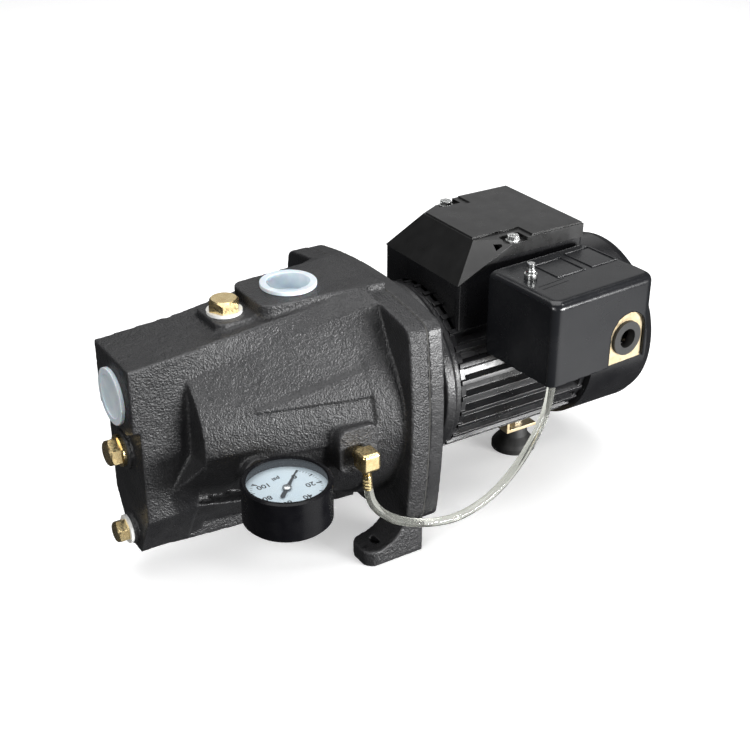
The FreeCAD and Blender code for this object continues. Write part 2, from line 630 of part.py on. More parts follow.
def make_motor():
    """Stator, windings, finned housing, end bell and fan cover."""
    middle = size("shaft_height")
    inner, outer = size("stator_inner"), size("stator_outer")
    front, rear = size("core_front"), size("core_rear")
    slots = int(size("stator_slots"))
    core = Part.makeCylinder(outer, rear - front, Vector(front, 0, middle), Vector(1, 0, 0))
    tools = [Part.makeCylinder(inner, rear - front, Vector(front, 0, middle), Vector(1, 0, 0))]
    slot_depth, slot_width = 11, 4
    coils = []
    for number in range(slots):
        turn = 360 / slots * number
        slot = Part.makeBox(rear - front, slot_width, slot_depth,
                            Vector(front, -slot_width / 2, inner + 1.5))
        slot.rotate(Vector(front, 0, 0), Vector(1, 0, 0), turn)
        slot.translate(Vector(0, 0, middle))
        tools.append(slot)
        coils.append(slot)
    node("stator_core", shaped("StatorCore", core.cut(tools)))
    ends = []
    coil_length, coil_inner, coil_outer = 15, inner + 2, inner + 13
    for start in (front - coil_length, rear):
        ring = Part.makeCylinder(coil_outer, coil_length, Vector(start, 0, middle),
                                 Vector(1, 0, 0))
        hole = Part.makeCylinder(coil_inner, coil_length, Vector(start, 0, middle),
                                 Vector(1, 0, 0))
        ring = ring.makeFillet(4, [edge for edge in ring.Edges if len(edge.Vertexes) == 1])
        ends.append(ring.cut(hole))
    node("stator_windings", shaped("StatorWindings", ends[0].multiFuse(ends[1:] + coils)))

    # housing: parallel fins all round, a flat strip underneath
    fins = int(size("fin_count"))
    root, tip = size("housing_root"), size("housing_tip")
    half_root, half_tip = 0.30, 0.13
    corners = []
    for number in range(fins):
        for share, radius in ((-half_root, root), (-half_tip, tip), (half_tip, tip),
                              (half_root, root)):
            turn = math.radians(360 / fins * (number + share))
            corners.append(Vector(0, radius * math.cos(turn), middle + radius * math.sin(turn)))
    start, end = size("housing_front"), size("housing_rear")
    body = Part.Face(Part.makePolygon(corners + corners[:1])).extrude(Vector(end - start, 0, 0))
    body.translate(Vector(start, 0, 0))
    strip = Part.makeBox(end - start, 30, 16, Vector(start, -15, size("motor_bottom")))
    rims = []
    for place in (start, end - 4):
        rims.append(Part.makeCylinder(tip - 1.5, 4, Vector(place, 0, middle), Vector(1, 0, 0)))
    below = Part.makeBox(end - start, 60, 20, Vector(start, -30, size("motor_bottom") - 20))
    bore = Part.makeCylinder(outer, end - start, Vector(start, 0, middle), Vector(1, 0, 0))
    housing = body.multiFuse([strip] + rims).cut([bore, below])
    node("motor_housing", shaped("MotorHousing", housing.removeSplitter()))

    bell_blank = turned("RearEndBellBlank", [
        ("rear_bearing - 2", "bearing_outer"), ("rear_bearing - 2", 24), ("housing_rear", 26),
        ("housing_rear", 62), ("cover_front", 62), ("cover_front", "bell_radius"),
        (197, "bell_radius"), (197, 9), ("rear_bearing + bearing_width", 9),
        ("rear_bearing + bearing_width", "bearing_outer")])

    shell = turned("FanCoverShell", [
        ("cover_front", "bell_radius"), ("cover_front", "cover_radius"),
        ("cover_rear - 12", "cover_radius"), ("cover_rear - 5.5", "cover_radius - 1.8"),
        ("cover_rear - 1.8", "cover_radius - 5.5"), ("cover_rear", "cover_radius - 12"),
        ("cover_rear", 0), ("cover_rear - cover_wall", 0),
        ("cover_rear - cover_wall", "cover_radius - 12.6"),
        ("cover_rear - 3.1", "cover_radius - 6.9"), ("cover_rear - 6.9", "cover_radius - 3.1"),
        ("cover_rear - 12.6", "bell_radius")])
    slits = []
    for number in range(int(size("grille_slots"))):
        slit = doc.addObject("Part::Box", f"GrilleSlit{number}")
        slit.Length, slit.Width, slit.Height = 10, 3, 28
        turn = 360 / size("grille_slots") * number
        spin = Placement(Vector(0, 0, middle), Rotation(Vector(1, 0, 0), turn))
        slit.Placement = spin.multiply(Placement(Vector(size("cover_rear") - 6, -1.5, 20),
                                                 Rotation()))
        slits.append(slit)
    screws, holes = [], []
    screw_x, screw_radius, screw_head = 193.5, 2, 4
    for number, turn in enumerate((60, 180, 300)):
        spin = Placement(Vector(0, 0, middle), Rotation(Vector(1, 0, 0), turn))
        shank = cylinder(f"CoverShank{number}", screw_radius, 9, (0, 0, 0))
        head = cylinder(f"CoverHead{number}", screw_head, 2.2, (0, 0, 0))
        hole = cylinder(f"CoverHole{number}", screw_radius, 9, (0, 0, 0))
        for piece, radius in ((shank, 58), (head, size("cover_radius")), (hole, 58.0)):
            for letter in "xyz":
                piece.setExpression("Placement.Base." + letter, None)
            piece.Placement = spin.multiply(Placement(Vector(screw_x, 0, radius), Rotation()))
        screws.append(joined(f"CoverScrew{number}", shank, head))
        holes.append(hole)
    node("fan_cover", cut("FanCover", shell, *slits, *holes))
    node("rear_end_bell", cut("RearEndBell", bell_blank, *holes))
    node("fan_cover_screws", grouped("FanCoverScrews", *screws))


def make_terminal_box():
    """Box base with its saddle, faceted cover, screws, capacitor and terminals."""
    front, rear, half = size("box_front"), size("box_rear"), size("box_half_width")
    bottom, split, nose = size("box_bottom"), size("box_split"), size("box_nose_height")
    shoulder, top, wall = size("box_shoulder"), size("box_top"), size("box_wall")
    middle = size("shaft_height")

    def side_prism(points, half_width):
        corners = [Vector(x, -half_width, z) for x, z in points]
        face = Part.Face(Part.makePolygon(corners + corners[:1]))
        return face.extrude(Vector(0, 2 * half_width, 0))

    outside = side_prism([(front, bottom), (rear, bottom), (rear, split), (shoulder, split),
                          (front, nose)], half)
    upright = [edge for edge in outside.Edges
               if abs(edge.Vertexes[0].Z - edge.Vertexes[-1].Z) > 40
               and abs(edge.Vertexes[0].X - edge.Vertexes[-1].X) < 0.1]
    outside = outside.makeFillet(3, upright)
    inside = side_prism([(front + wall, bottom + wall), (rear - wall, bottom + wall),
                         (rear - wall, split + 9), (shoulder, split + 9),
                         (front + wall, nose + 2)], half - wall)
    saddle = rod(size("saddle_radius"), (front - 1, 0, middle), (rear + 1, 0, middle))
    floor = rod(size("saddle_radius") + 3, (front - 1, 0, middle), (rear + 1, 0, middle))
    base = outside.cut([inside.cut(floor), saddle])
    posts = []
    for side in (-1, 1):
        y = side * size("screw_y")
        post = rod(4.4, (size("screw_station"), y, bottom + 20), (size("screw_station"), y, split))
        posts.append(post.cut([saddle, rod(1.9, (size("screw_station"), y, split - 14),
                                           (size("screw_station"), y, split + 1))]))
    base = base.multiFuse(posts)
    node("junction_box_base", shaped("JunctionBoxBase", base))

    # cover: sloping nose, facets at its corners, ledges under the screws
    cap = side_prism([(front, nose), (size("cap_front"), top), (rear, top), (rear, split),
                      (shoulder, split)], half)
    hollow = side_prism([(front + 6, nose + 2.6), (size("cap_front") + 1.5, top - wall),
                         (rear - wall, top - wall), (rear - wall, split - 1),
                         (shoulder - 2, split - 1)], half - wall)
    facets = []
    for side in (-1, 1):
        tip = Vector(front, side * half, nose)
        peak = Vector(size("cap_front"), side * size("cap_half_width"), top)
        back = Vector(size("screw_station") + 1, side * (half + 0.01), top)
        beyond = Vector(size("cap_front") - 8, side * (half + 14), top + 8)
        faces = [Part.Face(Part.makePolygon([a, b, c, a])) for a, b, c in
                 ((tip, peak, back), (tip, peak, beyond), (peak, back, beyond),
                  (tip, back, beyond))]
        facets.append(Part.Solid(Part.Shell(faces)))
    guard = [Part.makeBox(34, 14, 30, Vector(front, side * 38 - 7, nose - 2)) for side in (-1, 1)]
    ledges, lifts, holes = [], [], []
    for side in (-1, 1):
        y = side * size("screw_y")
        seat = Part.makeBox(18, 12, 6, Vector(size("screw_station") - 9, y - 6,
                                              size("ledge_height")))
        ledges.append(seat)
        lifts.append(rod(5, (size("screw_station"), y, split),
                         (size("screw_station"), y, size("ledge_height"))))
        holes.append(rod(2.2, (size("screw_station"), y, split - 1),
                         (size("screw_station"), y, top + 1)))
    # the raised lid panel: narrow beside the screw ledges, full width behind them
    raised = top + size("panel_rise")
    panels = [
        side_prism([(size("cap_front"), top - 0.5), (rear - 1, top - 0.5), (rear - 1, raised),
                    (size("cap_front") + 0.94 * size("panel_rise"), raised)],
                   size("cap_half_width") - 2),
        side_prism([(size("screw_station") + 13, top - 0.5), (rear - 1, top - 0.5),
                    (rear - 1, raised), (size("screw_station") + 14, raised)], half - 1)]
    pads = [Part.makeBox(22, 12, 3, Vector(size("screw_station") - 11, side * (half - 6) - 6,
                                           size("ledge_height") - 3)) for side in (-1, 1)]
    hollow = hollow.cut(guard)
    cover = cap.multiFuse(panels).cut([hollow] + ledges).multiFuse(lifts + pads)
    cover = cover.cut(facets + holes)
    node("junction_box_cover", shaped("JunctionBoxCover", cover.removeSplitter()))

    screws = []
    for number, side in enumerate((-1, 1)):
        place = ("screw_station", f"{side} * screw_y", "ledge_height")
        washer = cylinder(f"ScrewWasher{number}", 5.2, 1, place)
        head = hexagon(f"ScrewHead{number}", 8, 4.2, place)
        slot = block(f"ScrewSlot{number}",
                     ("screw_station - 6", f"{side} * screw_y - 0.6", "ledge_height + 3"),
                     ("screw_station + 6", f"{side} * screw_y + 0.6", "ledge_height + 5"))
        shank = cylinder(f"ScrewShank{number}", 1.9, 20,
                         ("screw_station", f"{side} * screw_y", "ledge_height - 20"))
        screws.append(joined(f"CapScrew{number}", washer, cut(f"SlottedHead{number}", head, slot),
                             shank))
    node("cover_screws", grouped("CoverScrews", *screws))

    can = cylinder("CapacitorCan", "capacitor_radius", 62, (108, 14, 183), "+X")
    neck = cylinder("CapacitorEnd", 6, 5, (170, 14, 183), "+X")
    node("run_capacitor", joined("RunCapacitor", can, neck))


def switch_place(obj):
    """Turn a finished switch piece about the upright line through the switch's middle."""
    turn = Placement(Vector(size("switch_x"), size("switch_y"), 0),
                     Rotation(Vector(0, 0, 1), size("switch_turn")))
    obj.Placement = turn.multiply(obj.Placement)
    return obj


def make_switch():
    """Pressure switch: frame, diaphragm housing, works, cover and the nipple that holds it.

    Its pieces are shaped about the switch's own middle and turned together.
    """
    half_x, half_y = size("switch_half_length"), size("switch_half_width")
    bottom, top, wall = size("switch_bottom"), size("switch_top"), size("switch_wall")
    plate, middle = size("frame_plate"), size("shaft_height")
    entry_x, entry_z = size("entry_x"), size("entry_height")
    turn = Placement(Vector(size("switch_x"), size("switch_y"), 0),
                     Rotation(Vector(0, 0, 1), size("switch_turn")))
    motor = Part.makeCylinder(size("housing_tip") + 1.5, 300, Vector(0, 0, middle),
                              Vector(1, 0, 0))
    motor.Placement = turn.inverse().multiply(motor.Placement)

    # cover: moulded shell, bulging right end, arched cut-outs at both long sides
    def cover_block(inset, floor, roof):
        x, y = half_x - inset, half_y - inset
        bulge = 1.5
        edges = [
            Part.makeLine(Vector(-x, -y, floor), Vector(x - bulge, -y, floor)),
            Part.Arc(Vector(x - bulge, -y, floor), Vector(x, 0, floor),
                     Vector(x - bulge, y, floor)).toShape(),
            Part.makeLine(Vector(x - bulge, y, floor), Vector(-x, y, floor)),
            Part.makeLine(Vector(-x, y, floor), Vector(-x, -y, floor)),
        ]
        solid = Part.Face(Part.Wire(edges)).extrude(Vector(0, 0, roof - floor))
        corners = [edge for edge in solid.Edges
                   if abs(edge.Vertexes[0].Z - edge.Vertexes[-1].Z) > 20]
        solid = solid.makeFillet(4 - inset, corners)
        rim = [edge for edge in solid.Edges
               if min(point.Z for point in edge.Vertexes) > roof - 0.01]
        return solid.makeFillet(3.8 - inset, rim)

    outer = cover_block(0, bottom, top)
    inner = cover_block(wall, bottom - 1, top - wall)
    arch_half = size("arch_half_width")
    arches = []
    for side, arch_top in ((-1, size("arch_height")), (1, size("nipple_arch_height"))):
        spring_line = arch_top - arch_half
        start_y = min(side * (half_y - 8), side * (half_y + 2))
        arches.append(Part.makeBox(2 * arch_half, 10, spring_line - bottom + 1,
                                   Vector(entry_x - arch_half, start_y, bottom - 1)))
        arches.append(rod(arch_half, (entry_x, start_y, spring_line),
                          (entry_x, start_y + 10, spring_line)))
    hole = rod(size("post_radius") + size("post_clearance"),
               (size("post_x"), size("post_y"), top - 10),
               (size("post_x"), size("post_y"), top + 1))
    cover = outer.cut([inner, hole, motor] + arches)
    node("switch_cover", switch_place(shaped("SwitchCover", cover)))

    # frame: base plate with an upright plate on each long side
    in_y = half_y - wall - 1
    left, right, tab = -half_x + 5, half_x - 5.6, entry_x - 19
    floor_plate = Part.makeBox(right - left, 2 * in_y, plate, Vector(left, -in_y, bottom))
    near = Part.makeBox(right - tab, plate, 40, Vector(tab, -in_y, bottom))
    far = Part.makeBox(right - tab, plate, 27, Vector(tab, in_y - plate, bottom + 13))
    slant_outline = [Vector(tab, y, z) for y, z in
                     ((25, bottom), (25 + 2 * plate, bottom), (in_y, bottom + 15),
                      (in_y, bottom + 17), (in_y - plate, bottom + 17), (25, bottom + plate),
                      (25, bottom))]
    slant = Part.Face(Part.makePolygon(slant_outline)).extrude(Vector(right - tab, 0, 0))
    pivot_x, pivot_z = size("lever_x"), bottom + plate + size("lever_height")
    ears = [Part.makeBox(6, 2, size("lever_height") + 3, Vector(pivot_x - 3, y, bottom + plate))
            for y in (-19.5, 9.5)]
    pivot_hole = rod(size("lever_pin") + 0.05, (pivot_x, -25, pivot_z), (pivot_x, 15, pivot_z))
    post_x, post_y, post = size("post_x"), size("post_y"), size("post_radius")
    staked_post = rod(post, (post_x, post_y, bottom), (post_x, post_y, top + 4))
    entry_hole = rod(size("grommet_radius") - 2.5, (entry_x, -half_y, entry_z),
                     (entry_x, 0, entry_z))
    nipple_z = size("nipple_height")
    nipple_hole = rod(size("nipple_radius"), (entry_x, 0, nipple_z), (entry_x, half_y, nipple_z))
    barb_hole = rod(3, (size("barb_x"), 0, bottom - 1), (size("barb_x"), 0, bottom + 5))
    frame = floor_plate.multiFuse([near, far, slant, staked_post] + ears)
    frame = frame.cut([entry_hole, nipple_hole, motor, barb_hole, pivot_hole])
    node("switch_frame", switch_place(shaped("SwitchFrame", frame)))

    def ring(outer_radius, inner_radius, start_y, end_y, height=entry_z):
        start, end = (entry_x, start_y, height), (entry_x, end_y, height)
        return rod(outer_radius, start, end).cut(rod(inner_radius, start, end))

    grommet_out, entry_radius = size("grommet_radius"), size("entry_radius")
    grommet = ring(grommet_out, entry_radius, -in_y - 2.5, -in_y)
    grommet = grommet.fuse(ring(grommet_out - 2.5, entry_radius, -in_y, -in_y + plate))
    grommet = grommet.fuse(ring(grommet_out, entry_radius, -in_y + plate, -in_y + plate + 2.5))
    node("cable_grommet", switch_place(shaped("CableGrommet", grommet.removeSplitter())))

    nipple_r = size("nipple_radius")
    inside_y = in_y - plate
    nipple = ring(nipple_r, nipple_r - 2, inside_y - 5, in_y + 9, nipple_z)
    nipple = nipple.multiFuse([
        ring(nipple_r + 2, nipple_r - 2, inside_y - 3.5, inside_y, nipple_z),
        ring(nipple_r + 2, nipple_r - 2, in_y, in_y + 2, nipple_z)])
    node("conduit_nipple", switch_place(shaped("ConduitNipple", nipple.removeSplitter())))
    base = [item for item in NODES if item.Label == "junction_box_base"][0]
    passage = rod(nipple_r, (entry_x, in_y, nipple_z), (entry_x, in_y + 10, nipple_z))
    passage.Placement = turn.multiply(passage.Placement)
    base.Shape = base.Shape.cut([passage])

    housing = rod(size("diaphragm_radius"), (size("barb_x"), 0, size("diaphragm_bottom")),
                  (size("barb_x"), 0, bottom))
    housing = housing.makeFillet(1.5, [housing.Edges[2]])
    housing = housing.cut(rod(3, (size("barb_x"), 0, size("diaphragm_bottom") - 1),
                              (size("barb_x"), 0, bottom + 1)))
    node("diaphragm_housing", switch_place(shaped("DiaphragmHousing", housing)))

    # hose barb under the diaphragm
    x, low = size("barb_x"), size("tube_top_end")
    barb = rod(3, (x, 0, low + 10), (x, 0, bottom)).multiFuse([
        Part.makeCone(size("barb_radius"), 3.1, 2, Vector(x, 0, low)),
        rod(size("barb_radius"), (x, 0, low), (x, 0, low + 6)),
        rod(5.4, (x, 0, low + 6), (x, 0, low + 10)),
    ])
    node("switch_barb", switch_place(shaped("SwitchBarb", barb.removeSplitter())))

    # acorn nut on the frame's post
    nut = rod(4.6, (post_x, post_y, top), (post_x, post_y, top + 3.6))
    dome = Part.makeSphere(3.6, Vector(post_x, post_y, top + 5))
    nut = nut.multiFuse([dome, rod(2.6, (post_x, post_y, top + 5), (post_x, post_y, top + 11))])
    nut = nut.cut(rod(post + 0.06, (post_x, post_y, top - 1), (post_x, post_y, top + 4.3)))
    node("cover_nut", switch_place(shaped("CoverNut", nut.removeSplitter())))

    # works: range stud and spring, contact block and the lever that it reads
    stud_x, stud_y, deck = -8, -4, bottom + plate
    stud = rod(2.5, (stud_x, stud_y, deck), (stud_x, stud_y, top - 8))
    stud = stud.fuse(Part.makeCylinder(6, 4, Vector(stud_x, stud_y, top - 14)))
    node("range_stud", switch_place(shaped("RangeStud", stud.removeSplitter())))
    coil_low, coil_high, wire, coil = deck + 8, top - 14.9, 0.9, 5.2
    helix = Part.makeHelix(5.5, coil_high - coil_low - 2 * wire, coil)
    section = Part.Wire(Part.Circle(Vector(coil, 0, 0), Vector(0, 1, 0), wire).toShape())
    spring = Part.Wire(helix).makePipeShell([section], True, True)
    spring.translate(Vector(stud_x, stud_y, coil_low + wire))
    node("range_spring", switch_place(shaped("RangeSpring", spring)))

    terminals = Part.makeBox(26, 40, 22, Vector(-1 + 3, -18, deck + 8))
    notches = [Part.makeBox(20, 6, 12, Vector(5, -16 + 10 * number, deck + 20))
               for number in range(4)]
    leg = Part.makeBox(12, 30, 8, Vector(8, -13, deck))
    contacts = terminals.fuse(leg).cut(notches + [
        rod(size("grommet_radius") + 0.5, (entry_x, -half_y, entry_z),
            (entry_x, -in_y + 8, entry_z))])
    node("contact_block", switch_place(shaped("ContactBlock", contacts.removeSplitter())))
    lever = Part.makeBox(22, 26, 1.6, Vector(pivot_x, -17, pivot_z - 0.8))
    lever = lever.fuse(rod(size("lever_pin"), (pivot_x, -19.5, pivot_z), (pivot_x, 11.5, pivot_z)))
    lever = lever.cut(rod(4, (stud_x, stud_y, deck), (stud_x, stud_y, deck + 12)))
    node("contact_lever", switch_place(shaped("ContactLever", lever.removeSplitter())))


def make_plugs():
    """Shipping plugs of the ports and the brass plugs, each with its own washer or collar."""
    def shipping(name, at, axis):
        rim = cylinder(name + "Rim", "plug_rim_radius", "plug_rim", (0, 0, 0))
        shank = cylinder(name + "Shank", "port_radius - plug_clearance", "plug_depth",
                         (0, 0, "-plug_depth"))
        recess = cylinder(name + "Recess", "plug_recess_radius", "plug_depth + plug_rim",
                          (0, 0, "plug_floor - plug_depth"))
        return put(cut(name, joined(name + "Body", rim, shank), recess), at, axis)

    node("suction_plug", shipping("SuctionPlug", ("suction_face", 0, "suction_height"), "-X"))
    node("discharge_plug", shipping("DischargePlug", ("discharge_station", 0, "deck_height"),
                                    "+Z"))

    def brass(name, bore, across, seat, length, collar, at, axis):
        shank = cylinder(name + "Shank", f"{bore} - plug_clearance", length,
                         (0, 0, f"-({length})"))
        head = hexagon(name + "Hex", across, "hex_height", (0, 0, seat))
        taper = cone(name + "Taper", f"({across}) * 0.62", f"({across}) * 0.36",
                     f"({across}) * 0.26", (0, 0, f"{seat} + hex_height - ({across}) * 0.17"))
        crown = doc.addObject("Part::Common", name + "Crown")
        limit = cylinder(name + "Limit", f"({across}) * 0.62", "hex_height + 3",
                         (0, 0, f"{seat} - ({across}) * 0.17"))
        crown.Base = head
        crown.Tool = joined(name + "Envelope", taper, cut(name + "Body", limit, block(
            name + "Top", (-20, -20, f"{seat} + hex_height - ({across}) * 0.17"),
            (20, 20, f"{seat} + hex_height + 20"))))
        pieces = [shank, crown]
        if collar:
            pieces.append(cylinder(name + "Collar", collar, seat, (0, 0, 0)))
        else:
            pieces.append(cylinder(name + "Neck", f"{bore} - plug_clearance", seat, (0, 0, 0)))
        return put(joined(name, *pieces), at, axis)

    node("priming_plug", brass("PrimingPlug", "priming_bore", "priming_hex", "washer_thickness",
                               16, None, ("priming_station", 0, "priming_top"), "+Z"))
    node("centre_plug", brass("CentrePlug", "centre_bore", "centre_hex", "plug_collar", 10,
                              "centre_collar_radius", ("centre_face", 0, "shaft_height"), "-X"))
    node("drain_plug", brass("DrainPlug", "drain_bore", "drain_hex", "washer_thickness", 12,
                             None, ("centre_face", 0, "drain_height"), "-X"))

    def washer(name, outer, bore, at, axis):
        disc = cylinder(name + "Disc", outer, "washer_thickness", (0, 0, 0))
        hole = cylinder(name + "Hole", f"{bore} - plug_clearance", "washer_thickness + 2",
                        (0, 0, -1))
        return put(cut(name, disc, hole), at, axis)

    node("priming_washer", washer("PrimingWasher", "washer_radius", "priming_bore",
                                  ("priming_station", 0, "priming_top"), "+Z"))
    node("drain_washer", washer("DrainWasher", "drain_washer_radius", "drain_bore",
                                ("centre_face", 0, "drain_height"), "-X"))


def make_gauge():
    """Pressure gauge lying on its back, dial up, screwed into the casing's side."""
    at = ("gauge_x", "gauge_y", 0)
    node("gauge_case", turned("GaugeCase", [
        ("gauge_bottom", 0), ("gauge_bottom", "gauge_radius - 2"),
        ("gauge_bottom + 2", "gauge_radius"), ("ring_bottom", "gauge_radius"),
        ("ring_bottom", "gauge_radius - gauge_wall"),
        ("gauge_bottom + gauge_wall", "gauge_radius - gauge_wall"),
        ("gauge_bottom + gauge_wall", 0)], at, "+Z"))
    node("gauge_ring", turned("GaugeRing", [
        ("ring_bottom", "gauge_radius - gauge_wall"), ("ring_bottom", "gauge_radius + 0.3"),
        ("gauge_top - 1", "gauge_radius + 0.3"), ("gauge_top", "gauge_radius - 1"),
        ("gauge_top", "ring_lip + 0.8"), ("lens_bottom + lens_thickness", "ring_lip"),
        ("lens_bottom + lens_thickness", "gauge_radius - gauge_wall")], at, "+Z"))
    node("gauge_lens", turned("GaugeLens", [
        ("lens_bottom", 0), ("lens_bottom", "gauge_radius - gauge_wall"),
        ("lens_bottom + lens_thickness", "gauge_radius - gauge_wall"),
        ("lens_bottom + lens_thickness", 0)], at, "+Z"))
    dial = cylinder("DialDisc", "gauge_radius - gauge_wall", "dial_thickness",
                    ("gauge_x", "gauge_y", "dial_height"))
    dial_hole = cylinder("DialHole", 1.1, 2, ("gauge_x", "gauge_y", "dial_height - 0.5"))
    node("gauge_dial", cut("GaugeDial", dial, dial_hole))

    # Bourdon movement under the dial: a C-shaped tube on its block
    bend, section = 18, 2.4
    ring = Part.makeTorus(bend, section, Vector(size("gauge_x"), size("gauge_y"), 91))
    gap = Part.makeBox(30, 16, 20, Vector(size("gauge_x"), size("gauge_y") + 4, 80))
    anchor = Part.makeBox(10, 10, 10, Vector(size("gauge_x") - 5, size("gauge_y") + 15, 86))
    node("bourdon_tube", shaped("BourdonTube", ring.cut(gap).fuse(anchor).removeSplitter()))

    # pointer at rest on zero, which lies at the back right of the dial
    x, y, z = size("gauge_x"), size("gauge_y"), size("pointer_height")
    length, rest = size("pointer_length"), 45
    arm = Part.Face(Part.makePolygon([Vector(-8, -1.1, 0), Vector(-8, 1.1, 0), Vector(0, 0.8, 0),
                                      Vector(length, 0.25, 0), Vector(length, -0.25, 0),
                                      Vector(0, -0.8, 0), Vector(-8, -1.1, 0)]))
    arm = arm.extrude(Vector(0, 0, 0.5))
    arm = arm.multiFuse([Part.makeCylinder(2.6, 1.1), Part.makeCylinder(0.9, 6.5,
                                                                        Vector(0, 0, -6))])
    arm.rotate(Vector(), Vector(0, 0, 1), rest)
    arm.translate(Vector(x, y, z))
    node("gauge_pointer", shaped("GaugePointer", arm.removeSplitter()))

    hex_end, wall_y = -61, "gauge_y + gauge_radius"
    flat = hexagon("StemHex", 12, f"{hex_end} - ({wall_y})", ("gauge_x", wall_y, "stem_height"),
                   "+Y")
    thread = cylinder("StemThread", "stem_radius", 16, ("gauge_x", hex_end, "stem_height"), "+Y")
    node("gauge_stem", joined("GaugeStem", flat, thread))


def make_pressure_line():
    """Brass elbow on the casing and the clear tube that runs up to the switch."""
    x, y, z = size("elbow_x"), size("elbow_y"), size("elbow_height")
    half = size("elbow_size") / 2
    body = Part.makeBox(2 * half, 2 * half, 2 * half, Vector(x - half, y - half, z - half))
    body = body.makeFillet(2.6, body.Edges)
    low = size("tube_top_start")
    parts = [
        rod(5.2, (x, y + half - 1, z), (x, size("elbow_pad_face"), z)),
        rod(size("elbow_thread"), (x, size("elbow_pad_face") - 1, z), (x, -62, z)),
        rod(size("barb_radius"), (x, y, low), (x, y, z - half + 1)),
        Part.makeCone(size("barb_radius"), 3.1, 2, Vector(x, y, low)),
    ]
    node("pressure_elbow", shaped("PressureElbow", body.multiFuse(parts).removeSplitter()))

    # route of the tube: straight down out of the elbow, one long sag, up into the switch's barb
    end = Rotation(Vector(0, 0, 1), size("switch_turn")).multVec(Vector(size("barb_x"), 0, 0))
    end_x, end_y = size("switch_x") + end.x, size("switch_y") + end.y
    route = [Vector(*point) for point in (
        (x, y, low), (-19.2, -87.7, 66), (-12.4, -88.2, 51.5), (4, -88.9, 37.5),
        (27, -89.4, 27.5), (54, -89.7, 22.5), (82, -89.4, 29.5), (105, -88.7, 46),
        (123, -87.9, 69), (133.2, -87.1, 89.5), (end_x, end_y, size("tube_top_end")))]
    radius = size("tube_diameter") / 2
    edges, length, start = [], 0.0, route[0]
    for before, here, after in zip(route, route[1:], route[2:]):
        arriving, leaving = (here - before), (after - here)
        turn = arriving.getAngle(leaving)
        shorter = min(arriving.Length, leaving.Length)
        reach = 0.45 * shorter
        bend = reach / math.tan(turn / 2)
        arriving.normalize()
        leaving.normalize()
        first, last = here - arriving * reach, here + leaving * reach
        inward = (leaving - arriving).normalize()
        depth = bend / math.cos(turn / 2) - bend
        edges += [Part.makeLine(start, first),
                  Part.Arc(first, here + inward * depth, last).toShape()]
        length += (first - start).Length + bend * turn
        start = last
        print(f"tube bend of {math.degrees(turn):.0f} degrees, radius {bend:.1f} mm")
    edges.append(Part.makeLine(start, route[-1]))
    length += (route[-1] - start).Length
    path = Part.Wire(edges)
    section = Part.Wire(Part.Circle(route[0], Vector(route[1] - route[0]), radius).toShape())
    tube = path.makePipeShell([section], True, True)
    expected = math.pi * radius ** 2 * length
    print(f"tube length {length:.1f} mm, volume {tube.Volume:.0f} of {expected:.0f} mm3")
    node("pressure_tube", shaped("PressureTube", tube))


def make_motor_foot():
    """Rubber foot on a bent strip under the motor."""
    x, thick = "motor_foot_x", "strip_thickness"
    top, half = "motor_bottom", "strip_half_width"
    lower = block("StripLower", ("strip_riser", f"-{half}", "rubber_height"),
                  ("strip_rear", half, f"rubber_height + {thick}"))
    riser = block("StripRiser", ("strip_riser", f"-{half}", "rubber_height"),
                  (f"strip_riser + {thick}", half, top))
    upper = block("StripUpper", ("strip_front", f"-{half}", f"{top} - {thick}"),
                  (f"strip_riser + {thick}", half, top))
    hole = cylinder("StripHole", 3, 10, (x, 0, "rubber_height - 2"))
    node("foot_bracket", cut("FootBracket", joined("FootStrip", lower, riser, upper), hole))
    node("rubber_foot", turned("RubberFoot", [
        (0, 7), (0, "rubber_radius"), (4, "rubber_radius"), (7, "rubber_radius - 2"),
        (12, 11), ("rubber_height", 10), ("rubber_height", 3), (7, 3), (7, 7)],
        (x, 0, 0), "+Z"))
    shank = cylinder("FootShank", 3, 24, (x, 0, 7))
    head = cylinder("FootHead", 6, 3, (x, 0, 4))
    nut_body = hexagon("FootNutHex", 10, 5, (x, 0, f"rubber_height + {thick}"))
    nut_hole = cylinder("FootNutHole", 3, 9, (x, 0, f"rubber_height + {thick} - 2"))
    node("foot_screw", grouped("FootScrew", joined("FootBolt", shank, head),
                               cut("FootNut", nut_body, nut_hole)))


make_casing()
make_flange_joint()
make_jet()
make_impeller()
make_shaft_line()
make_motor()
make_terminal_box()
make_switch()
make_plugs()
make_gauge()
make_pressure_line()
make_motor_foot()

doc.recompute()
for item in doc.Objects:
    failed = [word for word in item.State if word in ("Invalid", "Error")]
    if failed:
        raise SystemExit(f"{item.Label}: {failed}")
labels = [item.Label for item in NODES]
if len(set(labels)) != len(labels):
    raise SystemExit("two sub-parts share a name")
os.makedirs("parts", exist_ok=True)
for item in NODES:
    if item.Shape.isNull() or not item.Shape.isValid() or not item.Shape.Solids:
        raise SystemExit(f"{item.Label}: shape is not a valid solid")
for item in NODES:
    item.Shape.exportStep(f"parts/{item.Label}.step")
    box = item.Shape.BoundBox
    print(f"{item.Label:24s} {len(item.Shape.Solids)} solids {item.Shape.Volume / 1000:9.2f} cm3 "
          f"x {box.XMin:.1f} to {box.XMax:.1f}, y {box.YMin:.1f} to {box.YMax:.1f}, "
          f"z {box.ZMin:.1f} to {box.ZMax:.1f}")
print(len(NODES), "sub-parts")
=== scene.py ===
"""Looks of the shallow well jet pump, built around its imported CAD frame. Metres, in the row frame."""
import math

import bmesh
import bpy
import numpy as np
from mathutils import Matrix, Vector, noise


